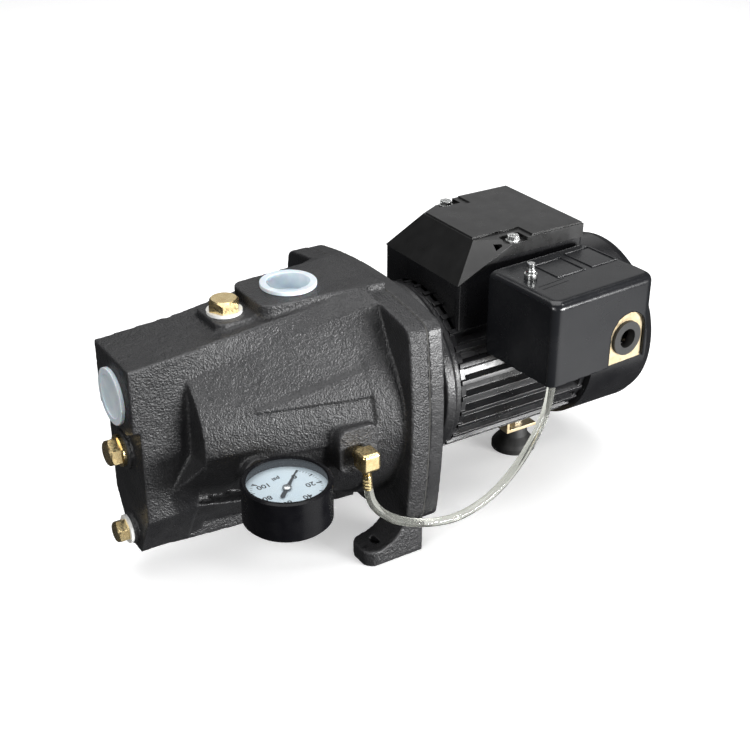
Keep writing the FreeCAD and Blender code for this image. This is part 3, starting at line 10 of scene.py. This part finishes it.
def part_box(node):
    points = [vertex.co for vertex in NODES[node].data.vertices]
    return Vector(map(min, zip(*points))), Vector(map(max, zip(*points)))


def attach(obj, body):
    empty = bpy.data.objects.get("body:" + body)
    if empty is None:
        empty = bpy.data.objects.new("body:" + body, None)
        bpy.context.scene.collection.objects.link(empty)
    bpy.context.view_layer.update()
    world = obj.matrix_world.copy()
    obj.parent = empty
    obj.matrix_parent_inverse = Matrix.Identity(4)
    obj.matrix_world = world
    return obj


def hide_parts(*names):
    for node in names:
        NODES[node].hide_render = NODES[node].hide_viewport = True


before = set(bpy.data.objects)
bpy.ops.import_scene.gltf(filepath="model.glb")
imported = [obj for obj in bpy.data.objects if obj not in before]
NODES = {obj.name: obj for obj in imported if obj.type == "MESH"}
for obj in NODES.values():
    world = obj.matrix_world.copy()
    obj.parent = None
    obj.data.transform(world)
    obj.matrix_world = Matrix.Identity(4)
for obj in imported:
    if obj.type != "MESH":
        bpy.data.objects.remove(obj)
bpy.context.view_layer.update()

MM = 0.001
SCENE = bpy.context.scene


# ---------------------------------------------------------------- camera, floor and light
def aim(azimuth, elevation, roll):
    """Turns a camera so that it looks back along azimuth and elevation, in degrees."""
    a, e, r = (math.radians(v) for v in (azimuth, elevation, roll))
    back = Vector((math.sin(a) * math.cos(e), -math.cos(a) * math.cos(e), math.sin(e)))
    right = Vector((math.cos(a), math.sin(a), 0))
    up = back.cross(right)
    across = right * math.cos(r) + up * math.sin(r)
    upward = up * math.cos(r) - right * math.sin(r)
    return Matrix((across, upward, back)).transposed().to_4x4()


CAMERA_PLACE = (-0.4048, -0.7081, 0.5428)
CAMERA_TURN = (-32.2, 27.85, 0.17)   # azimuth, elevation and roll in degrees
SENSOR, LENS = 36, 62.4              # mm

camera = bpy.data.objects.new("camera", bpy.data.cameras.new("camera"))
camera.data.sensor_width = SENSOR
camera.data.lens = LENS
camera.matrix_world = Matrix.Translation(CAMERA_PLACE) @ aim(*CAMERA_TURN)
SCENE.collection.objects.link(camera)
SCENE.camera = camera
SCENE.view_settings.view_transform = "Standard"


def light(name, place, target, size, power):
    """A soft area light at place, turned to target."""
    data = bpy.data.lights.new(name, "AREA")
    data.shape = "RECTANGLE"
    data.size, data.size_y = size
    data.energy = power
    lamp = bpy.data.objects.new(name, data)
    lamp.location = place
    lamp.rotation_euler = (Vector(target) - Vector(place)).to_track_quat("-Z", "Y").to_euler()
    SCENE.collection.objects.link(lamp)


CENTRE = (0.03, 0, 0.11)
light("key", (0.80, -1.60, 0.20), (0.03, 0, 0.10), (0.9, 0.32), 60)
light("overhead", (0.1, 0.1, 2.4), CENTRE, (2.6, 2.6), 68)
light("back_sheet", (1.15, 1.75, 1.15), CENTRE, (1.9, 1.2), 4)
light("glint", (0.85, -0.85, 1.25), CENTRE, (0.22, 0.22), 3.5)
light("side_fill", (-1.5, -0.9, 0.6), (-0.1, 0, 0.1), (0.6, 0.6), 15)
light("table_glow", (0.61, -1.0, -0.46), (0.05, -0.1, 0.1), (1.1, 0.55), 2.2)
light("strip", (-1.0, -1.25, 0.30), CENTRE, (0.09, 0.7), 0.8)

# a dim surround, with a white backdrop where the picture shows past the floor
world = bpy.data.worlds.new("studio")
SCENE.world = world
world.use_nodes = True
tree = world.node_tree
surround = tree.nodes["Background"]
surround.inputs[0].default_value = (0.95, 0.97, 1, 1)
surround.inputs[1].default_value = 0.05
seen = tree.nodes.new("ShaderNodeBackground")
seen.inputs[0].default_value = (1, 1, 1, 1)
path = tree.nodes.new("ShaderNodeLightPath")
pick = tree.nodes.new("ShaderNodeMixShader")
tree.links.new(path.outputs["Is Camera Ray"], pick.inputs[0])
tree.links.new(surround.outputs[0], pick.inputs[1])
tree.links.new(seen.outputs[0], pick.inputs[2])
tree.links.new(pick.outputs[0], tree.nodes["World Output"].inputs[0])


# ---------------------------------------------------------------- materials
class Shader:
    """A Principled material whose patterns follow the part's own coordinates, in metres."""

    def __init__(self, name, **sockets):
        self.material = bpy.data.materials.new(name)
        self.material.use_nodes = True
        self.tree = self.material.node_tree
        self.shader = self.tree.nodes["Principled BSDF"]
        self.place = self.node("ShaderNodeTexCoord").outputs["Object"]
        for socket, value in sockets.items():
            self.shader.inputs[socket.replace("_", " ")].default_value = value

    def node(self, kind, **settings):
        made = self.tree.nodes.new(kind)
        for key, value in settings.items():
            setattr(made, key, value)
        return made

    def link(self, source, target):
        self.tree.links.new(source, target)

    def noise(self, size_mm, detail=3.0, roughness=0.55, stretch=None):
        """Noise with lumps of about size_mm, drawn out along an axis where stretch says so."""
        made = self.node("ShaderNodeTexNoise")
        made.inputs["Scale"].default_value = 1 / (size_mm * MM)
        made.inputs["Detail"].default_value = detail
        made.inputs["Roughness"].default_value = roughness
        place = self.place
        if stretch:
            scaled = self.node("ShaderNodeMapping")
            scaled.inputs["Scale"].default_value = stretch
            self.link(self.place, scaled.inputs["Vector"])
            place = scaled.outputs[0]
        self.link(place, made.inputs["Vector"])
        return made.outputs["Fac"]

    def spread(self, source, low, high, start=0.3, stop=0.7):
        """source, from start to stop, as low to high."""
        made = self.node("ShaderNodeMapRange")
        for key, value in (("From Min", start), ("From Max", stop), ("To Min", low), ("To Max", high)):
            made.inputs[key].default_value = value
        self.link(source, made.inputs["Value"])
        return made.outputs[0]

    def blend(self, factor, low, high):
        """A colour from low to high; each is a colour or an output."""
        made = self.node("ShaderNodeMix", data_type="RGBA")
        self.link(factor, made.inputs["Factor"])
        for key, value in ((6, low), (7, high)):
            if isinstance(value, tuple):
                made.inputs[key].default_value = (*value, 1)
            else:
                self.link(value, made.inputs[key])
        return made.outputs[2]

    def colour(self, source):
        self.link(source, self.shader.inputs["Base Color"])

    def rough(self, source, low, high, start=0.3, stop=0.7):
        self.link(self.spread(source, low, high, start, stop), self.shader.inputs["Roughness"])

    def bump(self, *layers):
        """Stacks (height, depth in mm) layers of relief."""
        normal = None
        for height, depth in layers:
            made = self.node("ShaderNodeBump")
            made.inputs["Distance"].default_value = depth * MM
            self.link(height, made.inputs["Height"])
            if normal:
                self.link(normal, made.inputs["Normal"])
            normal = made.outputs[0]
        self.link(normal, self.shader.inputs["Normal"])


def plain(name, dark, bright, rough, blotch=14, grain=0.5, relief=0.01, metal=0.0, stretch=None, **more):
    """A painted, moulded or metal surface: blotches of two colours, uneven gloss and a fine grain."""
    made = Shader(name, Metallic=metal, **more)
    blotches = made.noise(blotch)
    made.colour(made.blend(made.spread(blotches, 0, 1), dark, bright))
    made.rough(made.noise(blotch * 0.4, detail=4), *rough)
    made.bump((made.noise(grain, stretch=stretch), relief))
    return made.material


def cast_paint(name, dark, bright, rough, peel=1.0):
    """Black paint over sand-cast iron: orange peel about a millimetre across, with a painted highlight on
    sharp outer edges and painted shade in hollows.
    """
    made = Shader(name, Specular_IOR_Level=0.55)
    peel_small = made.noise(1.25, detail=2.0, roughness=0.5)
    peel_large = made.noise(4.0, detail=2.0)
    edge = made.node("ShaderNodeNewGeometry").outputs["Pointiness"]
    base = made.blend(made.spread(made.noise(22), 0, 1), dark, bright)
    # painted highlight: sharp outer edges lightened towards 2.6 times the bright tone, standing in for
    # light caught on edges
    painted_edge_highlight = made.blend(made.spread(edge, 0, 1, 0.515, 0.60), base, tuple(2.6 * c for c in bright))
    # painted shade: hollows and creases darkened towards 0.55 times the dark tone
    made.colour(made.blend(made.spread(edge, 1, 0, 0.42, 0.49), painted_edge_highlight, tuple(0.55 * c for c in dark)))
    made.rough(made.noise(7, detail=4), *rough)
    made.bump((peel_large, 0.3 * peel), (peel_small, 0.8 * peel))
    return made.material


def brass(name="brass"):
    """Turned yellow brass with faint tool marks and duller patches."""
    made = Shader(name, Metallic=1.0)
    patches = made.noise(6, detail=5)
    made.colour(made.blend(made.spread(patches, 0, 1, 0.35, 0.75), (0.93, 0.76, 0.42), (0.78, 0.58, 0.28)))
    made.rough(made.noise(2.5, detail=5), 0.16, 0.38)
    made.bump((made.noise(0.45, stretch=(1, 1, 4)), 0.012), (made.noise(3), 0.012))
    return made.material


def layered(name="laminations"):
    """Stacked electrical steel: half-millimetre sheets seen on edge."""
    made = Shader(name, Metallic=0.9)
    wave = made.node("ShaderNodeTexWave", bands_direction="X")
    wave.inputs["Scale"].default_value = 1 / (20 * 0.5 * MM) * 2
    wave.inputs["Distortion"].default_value = 0.2
    made.link(made.place, wave.inputs["Vector"])
    made.colour(made.blend(wave.outputs["Fac"], (0.16, 0.16, 0.17), (0.30, 0.30, 0.31)))
    made.rough(made.noise(5), 0.4, 0.6)
    made.bump((wave.outputs["Fac"], 0.05))
    return made.material


def clear(name, tint, roughness, ior, transmission=1.0, film=0.0, alpha=1.0):
    """Clear plastic or glass, faintly wavy."""
    made = Shader(name, IOR=ior, Transmission_Weight=transmission, Alpha=alpha)
    made.shader.inputs["Base Color"].default_value = (*tint, 1)
    made.shader.inputs["Roughness"].default_value = roughness
    if film:
        made.bump((made.noise(9), film))
    return made.material


BLACK = (0.006, 0.006, 0.007)
MATERIALS = {
    # both cast irons carry cast_paint's painted edge highlight and painted shade in hollows
    "casing_iron": cast_paint("casing_iron", (0.011, 0.011, 0.012), (0.020, 0.020, 0.021), (0.34, 0.48)),
    "bracket_iron": cast_paint("bracket_iron", (0.010, 0.010, 0.011), (0.017, 0.017, 0.018),
                               (0.32, 0.44), peel=0.4),
    "motor_paint": plain("motor_paint", (0.008, 0.008, 0.009), (0.016, 0.016, 0.017), (0.24, 0.38), 18,
                         0.9, 0.03),
    "cover_paint": plain("cover_paint", (0.007, 0.007, 0.008), (0.013, 0.013, 0.014), (0.20, 0.30), 30,
                         1.6, 0.012),
    "box_plastic": plain("box_plastic", BLACK, (0.010, 0.010, 0.011), (0.22, 0.32), 25, 0.6, 0.008),
    "lid_plastic": plain("lid_plastic", (0.008, 0.008, 0.008), (0.013, 0.013, 0.013), (0.26, 0.36), 25,
                         0.6, 0.010),
    "switch_plastic": plain("switch_plastic", (0.007, 0.0075, 0.009), (0.011, 0.0115, 0.013),
                            (0.20, 0.29), 35, 1.2, 0.008),
    "brass": brass(),
    "zinc_steel": plain("zinc_steel", (0.62, 0.63, 0.62), (0.78, 0.79, 0.78), (0.18, 0.36), 3, 0.4,
                        0.015, 1.0),
    "yellow_zinc": plain("yellow_zinc", (0.72, 0.56, 0.33), (0.86, 0.74, 0.52), (0.26, 0.44), 7, 0.5,
                         0.012, 0.85),
    "black_steel": plain("black_steel", (0.02, 0.02, 0.022), (0.045, 0.045, 0.048), (0.28, 0.42), 4, 0.5,
                         0.02, 0.6),
    "port_plug_plastic": plain("port_plug_plastic", (0.60, 0.68, 0.74), (0.74, 0.80, 0.84), (0.30, 0.46),
                               9, 0.8, 0.02, Subsurface_Weight=0.25, Subsurface_Scale=0.004),
    "washer_nylon": plain("washer_nylon", (0.72, 0.72, 0.70), (0.84, 0.84, 0.82), (0.35, 0.5), 5, 0.5,
                          0.01),
    "clear_tube": clear("clear_tube", (0.62, 0.63, 0.58), 0.08, 1.45, 0.88, film=0.015),
    "gauge_steel": plain("gauge_steel", (0.003, 0.003, 0.004), (0.006, 0.006, 0.007), (0.22, 0.30), 9,
                         1.4, 0.006, Specular_IOR_Level=0.2),
    "gauge_face": plain("gauge_face", (0.74, 0.88, 0.96), (0.80, 0.92, 0.98), (0.5, 0.6), 12, 0.4,
                        0.004),
    "gauge_glass": clear("gauge_glass", (0.30, 0.34, 0.38), 0.03, 1.5, 0.0, alpha=0.10),
    "pointer_black": plain("pointer_black", BLACK, (0.012, 0.012, 0.012), (0.35, 0.5), 3, 0.4, 0.004),
    "steel": plain("steel", (0.50, 0.50, 0.51), (0.66, 0.66, 0.67), (0.12, 0.26), 5, 0.5, 0.01, 1.0,
                   (1, 6, 6)),
    "bourdon_bronze": plain("bourdon_bronze", (0.62, 0.40, 0.20), (0.74, 0.50, 0.27), (0.22, 0.36), 4,
                            0.4, 0.01, 1.0),
    "laminations": layered(),
    "copper_windings": plain("copper_windings", (0.42, 0.14, 0.05), (0.60, 0.24, 0.10), (0.25, 0.4), 3,
                             0.8, 0.12, 0.8, (0.25, 1, 1)),
    "hydraulic_plastic": plain("hydraulic_plastic", (0.030, 0.030, 0.030), (0.055, 0.055, 0.052),
                               (0.4, 0.55), 12, 0.6, 0.01),
    "fan_plastic": plain("fan_plastic", (0.020, 0.020, 0.020), (0.032, 0.032, 0.032), (0.42, 0.56), 12,
                         0.6, 0.01),
    "contact_phenolic": plain("contact_phenolic", (0.055, 0.028, 0.016), (0.085, 0.045, 0.028),
                              (0.35, 0.5), 5, 0.5, 0.015),
    "capacitor_can": plain("capacitor_can", (0.55, 0.55, 0.54), (0.68, 0.68, 0.66), (0.3, 0.42), 9, 0.6,
                           0.008, 0.3),
    "seal_ceramic": plain("seal_ceramic", (0.70, 0.69, 0.66), (0.82, 0.81, 0.78), (0.2, 0.3), 5, 0.4,
                          0.004),
    "rubber": plain("rubber", (0.010, 0.010, 0.010), (0.022, 0.022, 0.021), (0.45, 0.65), 6, 0.5, 0.02),
    "gasket_paper": plain("gasket_paper", (0.030, 0.030, 0.028), (0.060, 0.058, 0.052), (0.7, 0.85), 4,
                          0.4, 0.03),
}


def finished(piece, body, slot, *replaced):
    """Links a new piece, with its slot's finish, its body and the nodes it stands for."""
    if piece.name not in SCENE.collection.objects:
        SCENE.collection.objects.link(piece)
    piece.data.materials.clear()
    piece.data.materials.append(MATERIALS[slot])
    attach(piece, body)
    if replaced:
        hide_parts(*replaced)
    return piece


for node in NODES.values():
    slot = node.data.materials[0].name.split(".")[0]
    node.material_slots[0].material = MATERIALS[slot]


# ---------------------------------------------------------------- the free tube
TUBE_ROUTE = [
    (-0.0200, -0.0875, 0.0810), (-0.0192, -0.0877, 0.0660), (-0.0124, -0.0882, 0.0515),
    (0.0040, -0.0889, 0.0375), (0.0270, -0.0894, 0.0275), (0.0540, -0.0897, 0.0225),
    (0.0820, -0.0894, 0.0295), (0.1050, -0.0887, 0.0460), (0.1230, -0.0879, 0.0690),
    (0.1332, -0.0871, 0.0895), (0.135019, -0.086610, 0.1080),
]
curve = bpy.data.curves.new("clear_tube", "CURVE")
curve.dimensions = "3D"
spline = curve.splines.new("NURBS")
spline.points.add(len(TUBE_ROUTE) - 1)
for point, place in zip(spline.points, TUBE_ROUTE):
    point.co = (*place, 1)
spline.order_u = 3
spline.use_endpoint_u = True
spline.resolution_u = 24
curve.bevel_depth = 3.175 * MM
curve.bevel_resolution = 8
curve.use_fill_caps = True
tube = finished(bpy.data.objects.new("clear_tube", curve), "pump", "clear_tube", "pressure_tube")


# ---------------------------------------------------------------- softened copies of CAD shapes
def copied(node, name):
    """A welded copy of a CAD node's mesh, as a new object."""
    mesh = NODES[node].data.copy()
    mesh.name = name
    piece = bpy.data.objects.new(name, mesh)
    SCENE.collection.objects.link(piece)
    work = bmesh.new()
    work.from_mesh(mesh)
    bmesh.ops.remove_doubles(work, verts=work.verts, dist=1e-6)
    work.to_mesh(mesh)
    work.free()
    if mesh.has_custom_normals:
        bpy.context.view_layer.objects.active = piece
        bpy.ops.mesh.customdata_custom_splitnormals_clear()
    return piece


def applied(piece):
    """Turns a piece's modifiers into its mesh."""
    graph = bpy.context.evaluated_depsgraph_get()
    mesh = bpy.data.meshes.new_from_object(piece.evaluated_get(graph))
    piece.modifiers.clear()
    piece.data = mesh
    return piece


LUMP_SIZE = 3.0     # mm across
LUMP_CREST = 0.25   # noise above this stays at the surface
FLAT_ANGLE = math.radians(1)      # faces closer to one plane than this become one
BEVEL_ANGLE = math.radians(32)    # edges sharper than this are rounded
SHARP_ANGLE = math.radians(35)    # edges sharper than this stay crisp in new pieces


def cast(node, name, slot, voxel, smoothing, lump):
    """A casting: the node's shape with rounded corners, its skin sunk unevenly by about lump mm."""
    piece = copied(node, name)
    remesh = piece.modifiers.new("remesh", "REMESH")
    remesh.mode = "VOXEL"
    remesh.voxel_size = voxel * MM
    smooth = piece.modifiers.new("smooth", "SMOOTH")
    smooth.factor = 0.5
    smooth.iterations = smoothing
    applied(piece)
    mesh = piece.data
    places = np.zeros(len(mesh.vertices) * 3, np.float32)
    mesh.vertices.foreach_get("co", places)
    places = places.reshape(-1, 3)
    normals = np.zeros(len(mesh.vertices) * 3, np.float32)
    mesh.vertex_normals.foreach_get("vector", normals)
    heights = np.array([noise.noise(Vector(place)) for place in places / (LUMP_SIZE * MM)], np.float32)
    sunk = (np.minimum(heights, LUMP_CREST) - LUMP_CREST) * lump * MM
    mesh.vertices.foreach_set("co", (places + normals.reshape(-1, 3) * sunk[:, None]).ravel())
    mesh.shade_smooth()
    return finished(piece, "pump", slot, node)


def bevelled(node, radius, segments=2, body="pump"):
    """The node's shape with its sharp edges rounded to radius."""
    slot = NODES[node].material_slots[0].material.name.split(".")[0]
    piece = copied(node, node + "_edges")
    work = bmesh.new()
    work.from_mesh(piece.data)
    bmesh.ops.dissolve_limit(work, angle_limit=FLAT_ANGLE, verts=work.verts, edges=work.edges)
    work.to_mesh(piece.data)
    work.free()
    piece.data.shade_smooth()
    bevel = piece.modifiers.new("bevel", "BEVEL")
    bevel.width = radius * MM
    bevel.segments = segments
    bevel.limit_method = "ANGLE"
    bevel.angle_limit = BEVEL_ANGLE
    bevel.harden_normals = True
    piece.modifiers.new("flats", "WEIGHTED_NORMAL")
    return finished(applied(piece), body, slot, node)


cast("pump_casing", "casing_skin", "casing_iron", 1.1, 3, 0.25)
cast("motor_bracket", "bracket_skin", "bracket_iron", 0.9, 2, 0.08)
for node, radius in (("junction_box_base", 0.8), ("junction_box_cover", 0.9), ("motor_housing", 0.35),
                     ("flange_bolts", 0.4), ("cover_screws", 0.12), ("pressure_elbow", 1.0),
                     ("foot_bracket", 0.4), ("switch_frame", 0.3), ("gauge_stem", 0.5)):
    bevelled(node, radius)
for node in ("centre_plug", "drain_plug", "priming_plug"):
    bevelled(node, 0.5, body=node)
bevelled("cover_nut", 0.2, body="cover_nut")
for node in ("suction_plug", "discharge_plug"):
    bevelled(node, 0.6, 3, body=node)


# ---------------------------------------------------------------- new pieces
def solid(name, work, slot, body, *replaced, smooth=True):
    """A new piece from a bmesh."""
    bmesh.ops.recalc_face_normals(work, faces=work.faces)
    mesh = bpy.data.meshes.new(name)
    work.to_mesh(mesh)
    work.free()
    if smooth:
        mesh.shade_smooth()
        mesh.set_sharp_from_angle(angle=SHARP_ANGLE)
    return finished(bpy.data.objects.new(name, mesh), body, slot, *replaced)


def lathed(work, profile, at, along, steps=48):
    """Adds a turned shape: profile is (radius, height) in mm from one axis end to the other."""
    turn = Vector((0, 0, 1)).rotation_difference(Vector(along)).to_matrix()
    rings = []
    for radius, height in profile:
        if radius == 0:
            rings.append([work.verts.new(Vector(at) + turn @ Vector((0, 0, height * MM)))])
            continue
        rings.append([work.verts.new(Vector(at) + turn @ Vector((
            radius * MM * math.cos(2 * math.pi * k / steps),
            radius * MM * math.sin(2 * math.pi * k / steps), height * MM))) for k in range(steps)])
    for low, high in zip(rings, rings[1:]):
        for k in range(steps):
            corners = [low[k % len(low)], low[(k + 1) % len(low)],
                       high[(k + 1) % len(high)], high[k % len(high)]]
            work.faces.new(list(dict.fromkeys(corners)))
    return work


def slab(work, outline, low, high, frame_of=Matrix.Identity(4)):
    """Adds a flat plate: outline in mm, from height low to high in mm."""
    floor_ring, roof_ring = (
        [work.verts.new(frame_of @ Vector((x * MM, y * MM, z * MM))) for x, y in outline]
        for z in (low, high))
    work.faces.new(floor_ring)
    work.faces.new(roof_ring)
    for k in range(len(outline)):
        follow = (k + 1) % len(outline)
        work.faces.new((floor_ring[k], floor_ring[follow], roof_ring[follow], roof_ring[k]))
    return work


def rim(work, west, east, south, north, width, low, high, frame_of):
    """Adds a raised rectangular border of that width, with sloping inner sides."""
    def ring(inset, z):
        corners = ((west + inset, south + inset), (east - inset, south + inset),
                   (east - inset, north - inset), (west + inset, north - inset))
        return [work.verts.new(frame_of @ Vector((x * MM, y * MM, z * MM))) for x, y in corners]
    rings = [ring(0, low), ring(0.25, high), ring(width - 0.25, high), ring(width, low)]
    for first, second in zip(rings, rings[1:] + rings[:1]):
        for k in range(4):
            work.faces.new((first[k], first[(k + 1) % 4], second[(k + 1) % 4], second[k]))


# the suction plug's web, close behind its rim
plug_low, plug_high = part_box("suction_plug")
plug_face = Vector((plug_low.x, (plug_low.y + plug_high.y) / 2, (plug_low.z + plug_high.z) / 2))
web = lathed(bmesh.new(), [(0, 1.3), (9, 1.2), (13.6, 0.9), (14.7, 0.5), (14.7, 3.0), (0, 3.0)],
             plug_face, (1, 0, 0))
solid("suction_plug_web", web, "port_plug_plastic", "suction_plug")

# the gauge: printed dial, needle and hub
dial_low, dial_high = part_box("gauge_dial")
gauge = Vector(((dial_low.x + dial_high.x) / 2, (dial_low.y + dial_high.y) / 2, dial_high.z))


def dial_angle(reading):
    """Zero lies at the back right; a hundred lies at the back left, 270 degrees clockwise on."""
    return math.radians(45 - 2.7 * reading)


def wedge(work, angle, inner, outer, inner_width, outer_width):
    """Adds a printed mark on the dial, along a radius, in mm."""
    turn = Matrix.Translation(gauge) @ Matrix.Rotation(angle, 4, "Z")
    slab(work, [(inner, -inner_width / 2), (outer, -outer_width / 2), (outer, outer_width / 2),
                (inner, inner_width / 2)], 0.01, 0.05, turn)


marks = bmesh.new()
for reading in range(0, 101, 2):
    angle = dial_angle(reading)
    if reading % 20 == 0:
        wedge(marks, angle, 19.4, 23.2, 0.6, 2.0)
    elif reading % 10 == 0:
        wedge(marks, angle, 20.2, 23.2, 0.5, 1.4)
    else:
        wedge(marks, angle, 21.6, 23.2, 0.3, 0.3)


def lettered(work, words, size_mm, radius, angle):
    """Adds printed figures, upright for a reader at the dial's far side."""
    letters = bpy.data.curves.new("figures", "FONT")
    letters.body, letters.size, letters.extrude = words, size_mm * MM, 0.02 * MM
    letters.offset = 0.14 * MM
    letters.align_x, letters.align_y = "CENTER", "CENTER"
    letters.resolution_u = 3
    holder = bpy.data.objects.new("figures", letters)
    mesh = bpy.data.meshes.new_from_object(holder)
    spot = gauge + Vector((math.cos(angle), math.sin(angle), 0)) * radius * MM + Vector((0, 0, 0.03 * MM))
    mesh.transform(Matrix.Translation(spot) @ Matrix.Rotation(math.pi, 4, "Z"))
    work.from_mesh(mesh)
    bpy.data.objects.remove(holder)
    bpy.data.meshes.remove(mesh)


for reading in range(0, 101, 20):
    lettered(marks, str(reading), 6.3, 15.4, dial_angle(reading))
lettered(marks, "psi", 5.0, 14.6, math.radians(90))
solid("gauge_figures", marks, "pointer_black", "pump", smooth=False)

needle_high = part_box("gauge_pointer")[1]
needle = bmesh.new()
needle_turn = Matrix.Translation((gauge.x, gauge.y, 0)) @ Matrix.Rotation(math.radians(45), 4, "Z")
needle_z = needle_high.z / MM - 1.1
tail = [(-9.5 + 1.5 * math.cos(math.radians(t)), 1.5 * math.sin(math.radians(t)))
        for t in range(270, 80, -20)]
slab(needle, tail + [(-3, 1.2), (2, 1.2), (21, 0.3), (21, -0.3), (2, -1.2), (-3, -1.2)],
     needle_z, needle_z + 0.45, needle_turn)
lathed(needle, [(0, 0.45), (3.0, 0.45), (3.0, 0.9), (0, 0.9)], (gauge.x, gauge.y, needle_z * MM), (0, 0, 1))
solid("needle", needle, "pointer_black", "gauge_pointer", "gauge_pointer")
hub = lathed(bmesh.new(), [(0, 0.9), (2.9, 0.9), (2.9, 1.3), (2.3, 1.75), (1.2, 2.0), (0, 2.05)],
             (gauge.x, gauge.y, needle_z * MM), (0, 0, 1))
solid("needle_hub", hub, "zinc_steel", "gauge_pointer")

# the ribbed barb that shows through the tube under the elbow
RIB_PITCH = 2.4   # mm
ribs = [(0, -1), (2.9, -1)]
for rib in range(4):
    ribs += [(3.32, 0.4 + rib * RIB_PITCH), (3.32, 1.3 + rib * RIB_PITCH),
             (2.95, 1.7 + rib * RIB_PITCH), (2.95, 2.5 + rib * RIB_PITCH)]
ribs += [(0, 10.1)]
first, second = (Vector(point) for point in TUBE_ROUTE[:2])
solid("hose_barb", lathed(bmesh.new(), ribs, first, second - first), "brass", "pump")

# the switch cover: a moulding with generously rounded corners and top edges
cover_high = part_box("switch_cover")[1]
SWITCH = Matrix.Translation((0.145, -0.086, 0)) @ Matrix.Rotation(math.radians(3.5), 4, "Z")
COVER_HALF, COVER_WALL = np.array((46.8, 36.0)), 2.0
CORNER_RADIUS, TOP_RADIUS = 8.5, 6.0


def rounded_depth(points, roof):
    """How far points, in mm in the switch's frame, lie outside a rounded box, and the way out."""
    side = np.abs(points[:, :2]) - (COVER_HALF - CORNER_RADIUS)
    reach = np.maximum(side, 0)
    across = np.hypot(reach[:, 0], reach[:, 1])
    plan = across + np.minimum(side.max(1), 0) - CORNER_RADIUS
    way = np.where(across[:, None] > 1e-6, reach / np.maximum(across, 1e-6)[:, None],
                   np.eye(2)[side.argmax(1)]) * np.sign(points[:, :2])
    out, up = np.maximum(plan + TOP_RADIUS, 0), np.maximum(points[:, 2] - roof + TOP_RADIUS, 0)
    length = np.maximum(np.hypot(out, up), 1e-6)
    within = np.minimum(np.maximum(plan, points[:, 2] - roof) + TOP_RADIUS, 0)
    depth = np.hypot(out, up) - TOP_RADIUS + within
    return depth, np.column_stack((way * (out / length)[:, None], up / length))


moulding = copied("switch_cover", "switch_cover_skin")
remesh = moulding.modifiers.new("remesh", "REMESH")
remesh.mode, remesh.voxel_size = "VOXEL", 0.7 * MM
applied(moulding)
cover_mesh = moulding.data
cover_mesh.transform(SWITCH.inverted())
points = np.zeros(len(cover_mesh.vertices) * 3, np.float32)
cover_mesh.vertices.foreach_get("co", points)
points = points.reshape(-1, 3).astype(float) / MM
roof = cover_high.z / MM
inner = rounded_depth(points, roof)[0] < -COVER_WALL / 2
for _ in range(3):
    depth, way = rounded_depth(points, roof)
    excess = np.maximum(depth - np.where(inner, -COVER_WALL, 0.0), 0)
    points -= way * excess[:, None]
cover_mesh.vertices.foreach_set("co", (points * MM).ravel())
cover_mesh.transform(SWITCH)
settle = moulding.modifiers.new("smooth", "SMOOTH")
settle.factor, settle.iterations = 0.5, 3
applied(moulding)
moulding.data.shade_smooth()
finished(moulding, "switch_cover", "switch_plastic", "switch_cover")

# two raised blank label frames, and mould lines over its top
frames = bmesh.new()
rim(frames, -15, 11, -3.5, 22.5, 1.5, roof - 0.2, roof + 0.7, SWITCH)
rim(frames, 16.5, 41, -3.5, 26, 1.5, roof - 0.2, roof + 0.7, SWITCH)
for y in (-7.4, -11.8):
    slab(frames, [(-36, y), (-12, y + 1.2), (-12, y + 1.6), (-36, y + 0.4)], roof - 0.3, roof + 0.2, SWITCH)
solid("switch_label_frames", frames, "switch_plastic", "switch_cover")

floor_mesh = bpy.data.meshes.new("floor")
floor_mesh.from_pydata([(-5, -5, 0), (5, -5, 0), (5, 5, 0), (-5, 5, 0)], [], [(0, 1, 2, 3)])
floor = bpy.data.objects.new("floor", floor_mesh)
floor.location.z = -0.0003
floor.data.materials.append(plain(
    "floor_paper", (0.90, 0.90, 0.90), (0.93, 0.93, 0.93), (0.75, 0.85), 400, 3, 0.02,
    Emission_Color=(1, 1, 1, 1), Emission_Strength=0.35))
# the floor shows, but neither bounces light on to the pump nor blocks the glow from below
floor.visible_diffuse = floor.visible_glossy = floor.visible_shadow = False
SCENE.collection.objects.link(floor)
